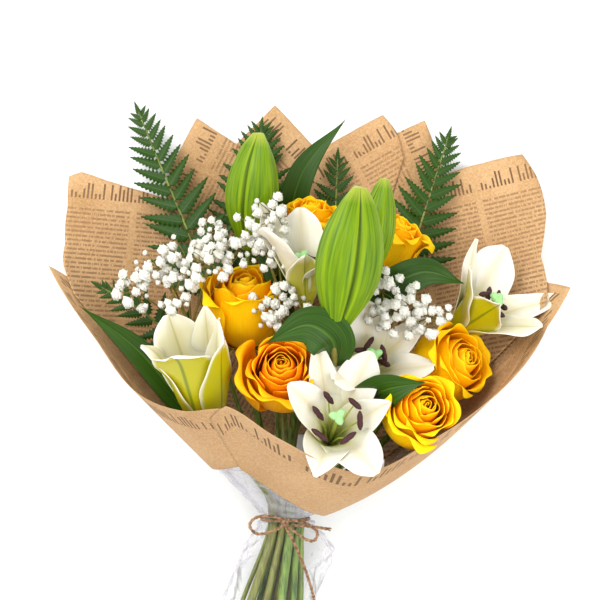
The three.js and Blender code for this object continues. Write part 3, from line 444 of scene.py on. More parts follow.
def add_stalk(parts, name, points, head_radius, sides=12):
    """The main stem of a plant, thinning from the tie up to its head, with a sawn end."""
    line = even_path(stem_route(name, points), STALK_STEPS)
    tied = np.argmin(np.abs(line[:, 1] - TIE[1])) / STALK_STEPS
    share = np.linspace(0, 1, STALK_STEPS + 1)
    radii = STEMS[name][0] + (head_radius - STEMS[name][0]) * np.clip((share - tied) / (1 - tied), 0, 1)
    points_made, faces, uv = tube(line, radii, sides)
    cut_end = np.zeros(len(points_made))
    cut_end[-2] = 1
    yellowing = (sum(map(ord, name)) * 37 % 100) / 100
    parts.add(points_made, faces, uv, cut=cut_end, tone=0.8 * yellowing ** 3)


# ---------------------------------------------------------------- roses
# Six garden roses. Each bloom is sixteen or more soft velvety petals, wound tight round the heart
# and rolled back at the lip of the outer ones, over a green cup with five sepals on its stalk.
# "loose" gives, for petals that stand off a bloom, where in degrees and how much larger.
ROSES = {
    "rose_1": {
        "base": [-45, -33, 53], "axis": [0.02, 0.86, 0.52], "radius": 31, "height": 62, "petals": 18,
        "open": 0.5, "turn": 20, "via": [],
    },
    "rose_2": {
        "base": [-14, -69, 90], "axis": [0.0, 0.45, 0.89], "radius": 24, "height": 50, "petals": 21,
        "open": 0.5, "loose": [(185, 1.3), (250, 1.15)], "turn": 130,
        "via": [[-12, -132, 52], [-12.5, -96, 72]],
    },
    "rose_3": {
        "base": [83, -94, 96], "axis": [0.3, 0.3, 0.9], "radius": 25, "height": 50, "petals": 20,
        "open": 0.65, "loose": [(230, 1.08)], "turn": 60, "via": [[30, -144, 54], [62, -116, 74]],
    },
    "rose_4": {
        "base": [101, -60, 56], "axis": [0.68, 0.32, 0.66], "radius": 29, "height": 50, "petals": 19,
        "open": 0.6, "turn": 200, "via": [[40, -128, 42]],
    },
    "rose_5": {
        "base": [5, 34, 38], "axis": [0.1, 0.92, 0.38], "radius": 21, "height": 50, "petals": 16,
        "open": 0.7, "turn": 0, "via": [[0, -70, 26], [4, 0, 32]],
    },
    "rose_6": {
        "base": [62, 20, 46], "axis": [0.45, 0.85, 0.3], "radius": 21, "height": 52, "petals": 16,
        "open": 1.1, "turn": 90, "via": [[28, -70, 30]],
    },
}
GOLDEN = math.radians(137.5)       # from one petal to the next
PETAL, SEPAL = 0.5, 0.6            # thickness
PETAL_COLUMNS, PETAL_ROWS = 14, 11
ROSE_NECK = 2.6                    # radius of a stalk under its bloom
ROSE_SEED = 10


def stand(points, base, axis, turn=0):
    """Sets points made round +Z on their base, with +Z turned to the axis."""
    a = unit(np.asarray(axis, float))
    x, y, _ = np.cross([0, 0, 1], a)
    skew = np.array([[0, 0, y], [0, 0, -x], [-y, x, 0]])
    tilt = np.eye(3) + skew + skew @ skew / (1 + a[2])
    c, s = math.cos(math.radians(turn)), math.sin(math.radians(turn))
    return points @ (tilt @ np.array([[c, -s, 0], [s, c, 0], [0, 0, 1]])).T + np.asarray(base, float)


def net_faces(columns, rows):
    """Quads of a net whose points run column by column."""
    made = []
    for i in range(columns):
        for j in range(rows):
            a = i * (rows + 1) + j
            made.append([a, a + rows + 1, a + rows + 2, a + 1])
    return made


def net(columns, rows):
    """u from -1 to 1 and v from 0 to 1 on a net, flat lists of one value a point."""
    u, v = np.meshgrid(np.linspace(-1, 1, columns + 1), np.linspace(0, 1, rows + 1), indexing="ij")
    return u.ravel(), v.ravel()


def round_z(points, turn):
    """Points turned round +Z by an angle in radians."""
    c, s = math.cos(turn), math.sin(turn)
    return points @ np.array([[c, -s, 0], [s, c, 0], [0, 0, 1]]).T


def rounded(obj):
    """Rounds a mesh off by one level of subdivision."""
    soft = obj.modifiers.new("soft", "SUBSURF")
    soft.levels = soft.render_levels = 1


def thicken(obj, thickness):
    """Gives a sheet its thickness and rounds it off."""
    wall = obj.modifiers.new("thickness", "SOLIDIFY")
    wall.thickness = thickness * MM
    wall.offset = 0
    rounded(obj)


def rose_petal(rose, number, rng):
    """One petal round +Z, and how far out it stands, from 0 at the heart to 1."""
    s = number / (rose["petals"] - 1)
    radius = rose["radius"]
    height = rose["height"] * (0.9 + 0.1 * math.sin(math.pi * (0.15 + 0.7 * (1 - s))) + 0.02 * rng.normal())
    belly = 0.1 + 0.94 * s ** 0.78
    foot = [[0.08 + 0.05 * s, 0.0], [0.7 * belly, 0.1], [belly, 0.36]]
    closed = foot + [
        [(0.93 + 0.04 * s) * belly, 0.66], [(0.66 + 0.27 * s) * belly, 0.88],
        [(0.36 + 0.6 * s) * belly, 1.0 - 0.03 * s],
    ]
    rolled = foot + [[1.0 * belly, 0.66], [1.16 * belly, 0.85], [1.46 * belly, 0.8]]
    u, v = net(PETAL_COLUMNS, PETAL_ROWS)
    roll = rose["open"] * max(0.0, (s - 0.3) / 0.7) * (0.8 + 0.3 * rng.random())
    lip = np.clip(roll * (0.7 + 0.35 * np.abs(u) ** 2 - 0.14 * np.exp(-(u / 0.3) ** 2)), 0, 1.2)
    flat = [[r, z, 0] for r, z in closed]
    bent = [[r, z, 0] for r, z in rolled]
    line = smooth_path(flat, v) * (1 - lip)[:, None] + smooth_path(bent, v) * lip[:, None]
    r, z = line[:, 0] * radius, line[:, 1] * height
    half = radius * (0.5 + 0.52 * s) * (0.95 + 0.1 * rng.random())
    outline = 0.42 + 0.58 * np.sin(np.pi / 2 * np.minimum(1, v / 0.52))
    outline = outline * (1 - 0.38 * np.clip((v - 0.7) / 0.3, 0, 1) ** 2.4)
    turn = number * GOLDEN + rng.normal() * 0.1
    angle = turn + u * np.minimum(2.6, half * outline / np.maximum(r, 0.16 * radius))
    phase = rng.random() * 6
    ruffle = v ** 3 * (0.6 + 1.2 * s)
    r = r + u * 0.9 + ruffle * np.sin(4.6 * u + phase) + 0.35 * s * np.sin(7 * v + 3 * u + phase)
    z = z - 0.07 * height * u ** 2 * v ** 3 + 0.7 * ruffle * np.sin(7 * u + 2 * phase)
    points = np.stack([r * np.cos(angle), r * np.sin(angle), z], axis=1)
    return points, np.stack([(u + 1) / 2, v], axis=1), s


def petal_material(name, heart, inner, outer, rim):
    """Rose petals are velvety, a little see-through and paler at the rim. They are deeper orange in the folds
    of the heart: partly the rose's own colour, partly painted shade.
    """
    made, tree, shade = skin(
        name, Roughness=0.6, Specular_IOR_Level=0.12, Subsurface_Weight=0.3,
        Subsurface_Radius=(1.0, 0.6, 0.1), Subsurface_Scale=2 * MM,
    )
    out = node(tree, "ShaderNodeAttribute", attribute_name="layer")
    body = node(tree, "ShaderNodeValToRGB", {"Fac": out.outputs["Fac"]})
    # painted shade in part: the petals of the heart get a deeper orange than the outer ones
    ramp(body, (0.0, heart), (0.42, inner), (1.0, outer))
    where = node(tree, "ShaderNodeUVMap", uv_map="UVMap")
    split = node(tree, "ShaderNodeSeparateXYZ", {"Vector": where.outputs["UV"]})
    along = node(tree, "ShaderNodeMapRange", {"Value": split.outputs["Y"]}, in_1=0.86, in_2=1.0)
    rim_mix = {0: along.outputs["Result"], 6: body.outputs["Color"]}
    pale = node(tree, "ShaderNodeMix", rim_mix, data_type="RGBA", in_7=linear(rim))
    low = node(tree, "ShaderNodeMapRange", {"Value": split.outputs["Y"]}, in_1=0.3, in_2=0.0, in_4=0.55)
    foot_mix = {0: low.outputs["Result"], 6: pale.outputs[2]}
    foot = node(tree, "ShaderNodeMix", foot_mix, data_type="RGBA", in_7=linear("ecc400"))
    fan = node(tree, "ShaderNodeMapping", {"Vector": where.outputs["UV"]}, in_Scale=(46, 5, 1))
    veins = node(tree, "ShaderNodeTexNoise", {"Vector": fan.outputs["Vector"]}, in_Scale=1.0, in_Detail=3.0)
    soft = node(tree, "ShaderNodeHueSaturation", {"Color": foot.outputs[2]}, in_Saturation=1.0)
    amount = node(
        tree, "ShaderNodeMapRange", {"Value": veins.outputs["Fac"]}, in_1=0.3, in_2=0.7, in_3=0.92, in_4=1.05,
    )
    tree.links.new(amount.outputs["Result"], soft.inputs["Value"])
    tree.links.new(soft.outputs["Color"], shade.inputs["Base Color"])
    rib = node(
        tree, "ShaderNodeBump", {"Height": veins.outputs["Fac"]}, in_Strength=0.25, in_Distance=0.25 * MM,
    )
    tree.links.new(rib.outputs["Normal"], shade.inputs["Normal"])
    return made


yellow_petal = petal_material("yellow_rose_petal", "ff8e00", "ffae00", "ffc200", "ffd010")
orange_petal = petal_material("orange_rose_petal", "f86c04", "fc8c0c", "ffac04", "ffbe10")
ROSE_COLOURS = {"rose_2": (orange_petal, "orange_petals")}


def shell(middle, outward, thickness, columns, rows):
    """A closed sheet on both sides of a net's points: points, faces, and 1 for its outer side."""
    count = len(middle)
    half = outward * (thickness / 2)
    quads = net_faces(columns, rows)
    rim = [i * (rows + 1) for i in range(columns + 1)]
    rim += [columns * (rows + 1) + j for j in range(1, rows + 1)]
    rim += [i * (rows + 1) + rows for i in range(columns - 1, -1, -1)]
    rim += list(range(rows - 1, 0, -1))
    faces = [face[::-1] for face in quads] + [[p + count for p in face] for face in quads]
    for k, a in enumerate(rim):
        b = rim[(k + 1) % len(rim)]
        faces.append([a, b, b + count, a + count])
    points = np.vstack([middle - half, middle + half])
    return points, faces, np.concatenate([np.zeros(count), np.ones(count)])


def add_sepals(parts, rose):
    """The cup under the bloom, and five narrow sepals that curl down from its edge."""
    radius = rose["radius"]
    cup = np.array([[0.1, -0.3], [0.2, -0.27], [0.3, -0.17], [0.27, -0.06], [0.15, -0.03]]) * radius
    sides = 16
    line = np.array([[0, 0, z] for z in cup[:, 1]])
    swing = 2 * np.pi * np.arange(sides) / sides
    ring = np.stack([np.cos(swing), np.sin(swing), 0 * swing], axis=1)
    points = (line[:, None] + ring[None] * cup[:, 0][:, None, None]).reshape(-1, 3)
    faces = []
    for k in range(len(cup) - 1):
        for s in range(sides):
            t = (s + 1) % sides
            faces.append([k * sides + s, k * sides + t, (k + 1) * sides + t, (k + 1) * sides + s])
    faces.append(list(range(sides))[::-1])
    faces.append([len(points) - sides + s for s in range(sides)])
    parts.add(stand(points, rose["base"], rose["axis"], rose["turn"]), faces, np.zeros((len(points), 2)))
    for k in range(5):
        u, v = net(4, 8)
        half = 0.15 * radius * np.sin(np.pi * (0.12 + 0.86 * v)) ** 0.8
        r = radius * (0.24 + 0.5 * v - 0.12 * v ** 2)
        z = radius * (-0.16 + 0.12 * v - 0.4 * v ** 2) + 0.35 * np.abs(u) * half
        sheet = np.stack([r, u * half, z], axis=1)
        sheet = round_z(sheet, 2 * np.pi * (k + 0.5) / 5)
        closed, faces, _ = shell(sheet, np.tile([0.0, 0.0, -1.0], (len(sheet), 1)), SEPAL, 4, 8)
        parts.add(stand(closed, rose["base"], rose["axis"], rose["turn"]), faces, np.zeros((len(closed), 2)))


for rose_name, rose in ROSES.items():
    rng = np.random.default_rng(int(rose_name[-1]) + ROSE_SEED)
    petals = Parts()
    for number in range(rose["petals"]):
        points, uv, out = rose_petal(rose, number, rng)
        points = stand(points, rose["base"], rose["axis"], rose["turn"])
        petals.add(points, net_faces(PETAL_COLUMNS, PETAL_ROWS), uv, layer=out)
    for azimuth, grown in rose.get("loose", []):
        # a loose outer petal, on the side where one stands off the bloom
        points, uv, out = rose_petal(dict(rose, radius=rose["radius"] * grown), rose["petals"] - 1, rng)
        own_place = math.degrees((rose["petals"] - 1) * GOLDEN)
        points = stand(points, rose["base"], rose["axis"], azimuth - own_place)
        petals.add(points, net_faces(PETAL_COLUMNS, PETAL_ROWS), uv, layer=out)
    bloom = petals.piece(rose_name + "_petals")
    finish, slot_name = ROSE_COLOURS.get(rose_name, (yellow_petal, "yellow_petals"))
    bloom.data.materials.append(finish)
    thicken(bloom, PETAL)
    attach(bloom, "root")
    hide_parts(rose_name + "_bloom")
    way = unit(np.array(rose["axis"], float))
    head = np.array(rose["base"]) - 0.25 * rose["radius"] * way
    cane = Parts()
    add_stalk(cane, rose_name, [*rose["via"], head], ROSE_NECK)
    add_sepals(cane, rose)
    stalk_piece = cane.piece(rose_name + "_cane")
    stalk_piece.data.materials.append(stalk)
    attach(stalk_piece, "root")
    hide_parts(rose_name + "_stem")

# ---------------------------------------------------------------- lilies
# Five oriental lilies. A bloom has six thick waxy tepals, grown together at the foot of a
# trumpet: three broad inner ones, and three narrower outer ones with a green rib down the back.
# A tepal's row gives where it stands round the axis in degrees, its length and width, how far
# it leans from the axis at five places from foot to tip, and how green its back is.
LILIES = {
    "lily_1": {
        "base": [-71, -104, 79], "axis": [-0.13, 0.82, 0.55], "styles": 62, "spread": 8,
        "centre_turn": 10, "via": [[-30, -150, 48], [-58, -116, 68]],
        "tepals": [
            (188, 100, 44, (24, 17, 8, 16, 60), 1.4), (254, 110, 56, (24, 16, 6, 12, 72), 1.4),
            (322, 108, 36, (25, 17, 9, 13, 30), 1.3), (24, 102, 36, (17, 11, 6, 10, 14), 0.9),
            (72, 104, 42, (22, 15, 8, 12, 8), 0.9), (130, 102, 48, (22, 16, 9, 16, 16), 1.1),
        ],
    },
    "lily_2": {
        "base": [23, -112, 84], "axis": [0.08, 0.34, 0.93], "styles": 66, "spread": 14,
        "centre_turn": 25, "via": [[2, -158, 52], [14, -134, 66]],
        "tepals": [
            (106, 104, 26, (8, 20, 38, 46, 22), 0.3), (62, 94, 37, (8, 20, 38, 48, 50), 0.0),
            (14, 86, 33, (6, 13, 25, 34, 38), 0.1), (304, 86, 40, (6, 15, 30, 54, 92), 0.0),
            (248, 82, 42, (6, 14, 26, 50, 112), 0.2), (150, 92, 31, (5, 11, 23, 38, 58), 0.1),
        ],
    },
    "lily_3": {
        "base": [4, -4, 78], "axis": [-0.05, 0.86, 0.5], "styles": 40, "spread": 8,
        "centre_turn": 40, "via": [[-7, -110, 44], [0, -50, 62]],
        "tepals": [
            (276, 66, 31, (14, 14, 18, 24, 34), 0.9), (330, 80, 34, (10, 18, 30, 42, 56), 0.1),
            (28, 78, 30, (8, 18, 30, 36, 44), 0.1), (92, 76, 38, (8, 14, 20, 26, 32), 0.0),
            (146, 88, 38, (8, 15, 22, 28, 26), 0.1), (216, 84, 46, (12, 15, 17, 22, 30), 0.05),
        ],
    },
    "lily_4": {
        "base": [47, -63, 68], "axis": [0.2, 0.4, 0.89], "styles": 48, "spread": 10,
        "centre_turn": 0,
        "tepals": [
            (35, 78, 27, (8, 22, 44, 56, 52), 0.2), (98, 76, 32, (8, 18, 32, 38, 20), 0.0),
            (156, 74, 28, (8, 18, 32, 40, 44), 0.1), (216, 70, 30, (8, 20, 36, 44, 56), 0.1),
            (276, 70, 26, (8, 22, 42, 56, 70), 0.2), (350, 70, 26, (8, 24, 46, 56, 50), 0.1),
        ],
    },
    "lily_5": {
        "base": [119, -30, 38], "axis": [0.6, 0.5, 0.62], "styles": 58, "spread": 8,
        "centre_turn": 15, "via": [[42, -116, 34], [90, -62, 36]],
        "tepals": [
            (4, 102, 30, (8, 22, 38, 44, 38), 0.3), (70, 86, 44, (8, 22, 40, 46, 40), 0.0),
            (116, 88, 27, (8, 20, 34, 40, 26), 0.2), (164, 84, 34, (8, 16, 26, 32, 40), 0.9),
            (224, 90, 41, (8, 13, 18, 22, 34), 1.4), (302, 88, 32, (8, 15, 24, 30, 30), 0.9),
        ],
    },
}
BROAD = [0.36, 0.46, 0.64, 0.82, 0.95, 1.0, 1.0, 0.96, 0.86, 0.64, 0.14]
NARROW = [0.38, 0.5, 0.68, 0.85, 0.96, 0.99, 0.93, 0.8, 0.6, 0.35, 0.05]
HOLLOW = (0.13, 0.075, 0.05, 0.028, 0.012, -0.03)    # how round a tepal is across, foot to tip
TEPAL = 0.9                        # thickness
TEPAL_COLUMNS, TEPAL_ROWS = 16, 26
LILY_SEED, HEART_SEED = 30, 60


def tepal(row, outer, rng):
    """One tepal round +Z: its closed shell, uv and sides."""
    azimuth, length, width, leans, _ = row
    columns, rows = TEPAL_COLUMNS, TEPAL_ROWS
    u, v = net(columns, rows)
    steps = 200
    share = np.linspace(0, 1, steps + 1)
    lean = np.radians(profile(leans, share))
    step = length / steps
    r_line = 2.4 + np.concatenate([[0], np.cumsum(np.sin(lean[1:]) * step)])
    r_line = r_line + 3.4 * np.minimum(1, share * 8)
    z_line = np.concatenate([[0], np.cumsum(np.cos(lean[1:]) * step)])
    r = np.interp(v, share, r_line)
    z = np.interp(v, share, z_line)
    tilt = np.interp(v, share, lean)
    half = width / 2 * profile(NARROW if outer else BROAD, v)
    cup = profile(HOLLOW, v)
    cup = np.where(np.abs(cup) < 1e-4, 1e-4, cup)
    bend = u * half * cup
    x = np.sin(bend) / cup
    depth = (1 - np.cos(bend)) / cup
    phase = rng.random() * 6
    lift = 1.0 * np.exp(-(u / 0.11) ** 2) * (1 - 0.7 * v) + (1.4 if outer else -0.4) * np.minimum(1, 4 * v)
    crimp = v ** 1.3 * np.abs(u) ** 2.4 * half / 15
    ruffle = 1.9 * crimp * np.sin(16 * v + phase + 1.2 * np.sign(u))
    ruffle = ruffle + 1.1 * v * np.sin(6 * v + 2.6 * u + phase)
    off = lift + ruffle - depth
    twist = 0.25 * rng.normal() * v ** 2
    across = x * np.cos(twist) - off * np.sin(twist)
    off = x * np.sin(twist) + off * np.cos(twist)
    middle = np.stack([r + off * np.cos(tilt), across, z - off * np.sin(tilt)], axis=1)
    grid = middle.reshape(columns + 1, rows + 1, 3)
    normal = unit(np.cross(np.gradient(grid, axis=0), np.gradient(grid, axis=1))).reshape(-1, 3)
    points, faces, back = shell(middle, normal, TEPAL, columns, rows)
    points = round_z(points, math.radians(azimuth))
    uv = np.stack([(u + 1) / 2, v], axis=1)
    return points, faces, np.vstack([uv, uv]), back


# Lily tepals are thick, waxy and cream white. The throat is green-yellow, fine ribs run from foot to tip, a
# tan band of painted shade lies in the groove along the middle rib, and the green of the back follows the
# middle rib.
waxy_tepal, tree, shade = skin(
    "white_lily_tepal", Roughness=0.4, Subsurface_Weight=0.3,
    Subsurface_Radius=(1.0, 0.9, 0.5), Subsurface_Scale=3 * MM,
)
where = node(tree, "ShaderNodeUVMap", uv_map="UVMap")
split = node(tree, "ShaderNodeSeparateXYZ", {"Vector": where.outputs["UV"]})
from_rib = node(tree, "ShaderNodeMath", {0: split.outputs["X"]}, operation="SUBTRACT", in_1=0.5)
from_rib = node(tree, "ShaderNodeMath", {0: from_rib.outputs[0]}, operation="ABSOLUTE")
throat = node(tree, "ShaderNodeMapRange", {"Value": split.outputs["Y"]}, in_1=0.62, in_2=0.05)
cream, throat_green = linear("e8e3d4"), linear("c9cc55")
throat_mix = {0: throat.outputs["Result"]}
body = node(tree, "ShaderNodeMix", throat_mix, data_type="RGBA", in_6=cream, in_7=throat_green)
# painted shade: a tan band darkens the groove along the middle rib
groove = node(
    tree, "ShaderNodeMapRange", {"Value": from_rib.outputs[0]}, in_1=0.2, in_2=0.0, in_3=0.0, in_4=0.4,
)
rib_groove_shade_mix = {0: groove.outputs["Result"], 6: body.outputs[2]}
rib_groove_shaded = node(tree, "ShaderNodeMix", rib_groove_shade_mix, data_type="RGBA", in_7=linear("c4b276"))
green = node(tree, "ShaderNodeAttribute", attribute_name="green")
spread = node(tree, "ShaderNodeMapRange", {"Value": from_rib.outputs[0]}, in_1=0.5, in_2=0.36)
band_by_green = {0: spread.outputs["Result"], 1: green.outputs["Fac"]}
banding = node(tree, "ShaderNodeMath", band_by_green, operation="MULTIPLY")
tipped = node(tree, "ShaderNodeMapRange", {"Value": split.outputs["Y"]}, in_1=1.0, in_2=0.82)
below_tip = {0: banding.outputs[0], 1: tipped.outputs["Result"]}
banding = node(tree, "ShaderNodeMath", below_tip, operation="MULTIPLY", use_clamp=True)
band_mix = {0: banding.outputs[0], 6: rib_groove_shaded.outputs[2]}
banded = node(tree, "ShaderNodeMix", band_mix, data_type="RGBA", in_7=linear("b4ad08"))
keel = node(tree, "ShaderNodeMapRange", {"Value": from_rib.outputs[0]}, in_1=0.035, in_2=0.008)
keel_by_green = {0: keel.outputs["Result"], 1: green.outputs["Fac"]}
keel = node(tree, "ShaderNodeMath", keel_by_green, operation="MULTIPLY")
keel_mix = {0: keel.outputs[0], 6: banded.outputs[2]}
keeled = node(tree, "ShaderNodeMix", keel_mix, data_type="RGBA", in_7=linear("7b860a"))
tree.links.new(keeled.outputs[2], shade.inputs["Base Color"])
fan = node(tree, "ShaderNodeMapping", {"Vector": where.outputs["UV"]}, in_Scale=(34, 2.2, 1))
ribs = node(tree, "ShaderNodeTexNoise", {"Vector": fan.outputs["Vector"]}, in_Scale=1.0, in_Detail=2.0)
rib = node(tree, "ShaderNodeBump", {"Height": ribs.outputs["Fac"]}, in_Strength=0.45, in_Distance=0.5 * MM)
tree.links.new(rib.outputs["Normal"], shade.inputs["Normal"])

for lily_name, lily in LILIES.items():
    rng = np.random.default_rng(int(lily_name[-1]) + LILY_SEED)
    bloom_parts = Parts()
    for number, row in enumerate(lily["tepals"]):
        points, faces, uv, back = tepal(row, number % 2 == 0, rng)
        placed = stand(points, lily["base"], lily["axis"])
        bloom_parts.add(placed, faces, uv, green=(0.3 + 0.7 * back) * row[4])
    bloom = bloom_parts.piece(lily_name + "_tepals")
    bloom.data.materials.append(waxy_tepal)
    rounded(bloom)
    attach(bloom, "root")
    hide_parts(lily_name + "_bloom")

# ---------------------------------------------------------------- lily hearts
# In each trumpet stands a green style with a pale three-lobed tip, and round it six filaments
# that carry long anthers, dark maroon before their pollen opens.
anther_skin, tree, shade = skin("maroon_anther", Roughness=0.7)
part = node(tree, "ShaderNodeAttribute", attribute_name="part")
# part is 0 on the style and filaments, 0.5 on the tip of the style and 1 on the anthers
tint = node(tree, "ShaderNodeValToRGB", {"Fac": part.outputs["Fac"]})
tint.color_ramp.interpolation = "CONSTANT"
ramp(tint, (0.0, "9aa83e"), (0.25, "9ed48a"), (0.75, "3d1318"))
spot = node(tree, "ShaderNodeTexCoord")
grain = node(tree, "ShaderNodeTexNoise", {"Vector": spot.outputs["Object"]}, in_Scale=900.0, in_Detail=2.0)
value = node(
    tree, "ShaderNodeMapRange", {"Value": grain.outputs["Fac"]}, in_1=0.3, in_2=0.7, in_3=0.8, in_4=1.12,
)
grained = {"Color": tint.outputs["Color"], "Value": value.outputs["Result"]}
mixed = node(tree, "ShaderNodeHueSaturation", grained)
tree.links.new(mixed.outputs["Color"], shade.inputs["Base Color"])
fuzz = node(tree, "ShaderNodeBump", {"Height": grain.outputs["Fac"]}, in_Strength=0.5, in_Distance=0.25 * MM)
tree.links.new(fuzz.outputs["Normal"], shade.inputs["Normal"])

HEART_FOOT = 3.0                   # how far up the trumpet the style starts
FILAMENT_RING = 2.6                # how far off the axis the filaments start
LOBE_SHAPE = 2.9 * np.array([0.6, 0.9, 1.1, 1.15, 1.1, 1.05, 0.9, 0.66, 0.3])
ANTHER_SHAPE = 2.2 * np.array([0.3, 0.75, 1, 1.05, 0.95, 1.05, 1, 0.75, 0.3])
ANTHER_HALF = 7.5                  # half its length
UPRIGHT = np.array([0, 0, 1])

for lily_name, lily in LILIES.items():
    rng = np.random.default_rng(int(lily_name[-1]) + HEART_SEED)
    heart = Parts()
    foot, top = HEART_FOOT, HEART_FOOT + lily["styles"]
    style_points = [[0, 0, foot], [0.6, 0.4, foot + 0.5 * lily["styles"]], [0, 0, top]]
    style_line = smooth_path(style_points, np.linspace(0, 1, 24))
    heart.add(*tube(style_line, np.linspace(1.7, 1.25, 24), 10), part=0.0)
    for lobe in range(3):
        a = 2 * math.pi * lobe / 3 + 0.4
        way = np.array([math.cos(a), math.sin(a), 0])
        stations = ((-2.0, 0.5), (1.0, 2.4), (1.2, 4.6), (-0.6, 6.2))
        line = np.array([UPRIGHT * (top + up) + way * off for up, off in stations])
        heart.add(*tube(even_path(line, 8), LOBE_SHAPE, 10), part=0.5)
    for k in range(6):
        a = k * math.pi / 3 + 0.5 + 0.2 * rng.normal()
        way = np.array([math.cos(a), math.sin(a), 0])
        lean = math.radians(lily["spread"] * (0.9 + 0.3 * rng.random()))
        long = lily["styles"] * (0.84 + 0.08 * rng.random())
        tip = np.array([0, 0, foot + 2 + long * math.cos(lean)])
        tip = tip + way * (FILAMENT_RING + long * math.sin(lean))
        belly = np.array([0, 0, foot + 2 + 0.5 * long])
        belly = belly + way * (FILAMENT_RING + 0.36 * long * math.sin(lean))
        filament = even_path([way * FILAMENT_RING + [0, 0, foot + 1], belly, tip], 16)
        heart.add(*tube(filament, np.linspace(1.0, 0.55, 17), 8), part=0.0)
        swing = rng.random() * 2 * math.pi
        lie = unit(np.array([math.cos(swing), math.sin(swing), 0.55 * rng.normal()]))
        anther = tip + lie[None] * np.linspace(-ANTHER_HALF, ANTHER_HALF, 9)[:, None] + [0, 0, 0.6]
        heart.add(*tube(anther, ANTHER_SHAPE, 10), part=1.0)
    heart.points = stand(heart.points, lily["base"], lily["axis"], lily["centre_turn"])
    centre = heart.piece(lily_name + "_heart")
    centre.data.materials.append(anther_skin)
    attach(centre, "root")
    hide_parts(lily_name + "_centre")

# ---------------------------------------------------------------- lily buds
# Three closed lily buds. Three thick outer tepals meet in deep grooves, each with a raised rib down its back
# and pale seams on both sides of it, and close in a blunt three-cornered tip. The grooves are darkened with
# painted shade.
BUDS = {
    "bud_1": {"base": [-41, 40, 49], "axis": [0.09, 0.95, 0.25], "turn": 60, "length": 96, "radius": 21},
    "bud_2": {
        "base": [27.4, -23, 140.5], "axis": [0.15, 0.96, 0.24], "turn": 100, "length": 112, "radius": 25,
    },
    "bud_3": {"base": [56.4, 20, 100], "axis": [0.12, 0.97, 0.18], "turn": 30, "length": 76, "radius": 13.5},
}
BUD_OUTLINE = [0.24, 0.46, 0.68, 0.86, 0.97, 1.0, 0.97, 0.88, 0.72, 0.5, 0.2]
BUD_COLUMNS, BUD_ROWS = 96, 48

bud_skin, tree, shade = skin(
    "closed_bud_skin", Roughness=0.42, Specular_IOR_Level=0.2, Subsurface_Weight=0.1,
    Subsurface_Radius=(0.6, 1.0, 0.2), Subsurface_Scale=2 * MM,
)
# seam is 1 in the grooves where tepals meet, and less in two fine grooves on each tepal, which are darkened
# as painted shade; pale is 1 along their light edges
seam = node(tree, "ShaderNodeAttribute", attribute_name="seam")
pale = node(tree, "ShaderNodeAttribute", attribute_name="pale")
where = node(tree, "ShaderNodeUVMap", uv_map="UVMap")
split = node(tree, "ShaderNodeSeparateXYZ", {"Vector": where.outputs["UV"]})
fan = node(tree, "ShaderNodeMapping", {"Vector": where.outputs["UV"]}, in_Scale=(60, 2.4, 1))
streak = node(tree, "ShaderNodeTexNoise", {"Vector": fan.outputs["Vector"]}, in_Scale=1.0, in_Detail=3.0)
lime = node(tree, "ShaderNodeValToRGB", {"Fac": streak.outputs["Fac"]})
ramp(lime, (0.3, "456a00"), (0.7, "7c9c00"))
pale_mix = {0: pale.outputs["Fac"], 6: lime.outputs["Color"]}
pale_edged = node(tree, "ShaderNodeMix", pale_mix, data_type="RGBA", in_7=linear("9cb204"))
seam_shade_mix = {0: seam.outputs["Fac"], 6: pale_edged.outputs[2]}
dark = node(tree, "ShaderNodeMix", seam_shade_mix, data_type="RGBA", in_7=linear("2c4802"))
tip = node(tree, "ShaderNodeMapRange", {"Value": split.outputs["Y"]}, in_1=0.9, in_2=1.0, in_4=0.6)
tip_mix = {0: tip.outputs["Result"], 6: dark.outputs[2]}
ended = node(tree, "ShaderNodeMix", tip_mix, data_type="RGBA", in_7=linear("b3b848"))
tree.links.new(ended.outputs[2], shade.inputs["Base Color"])
rib = node(tree, "ShaderNodeBump", {"Height": streak.outputs["Fac"]}, in_Strength=0.3, in_Distance=0.4 * MM)
tree.links.new(rib.outputs["Normal"], shade.inputs["Normal"])

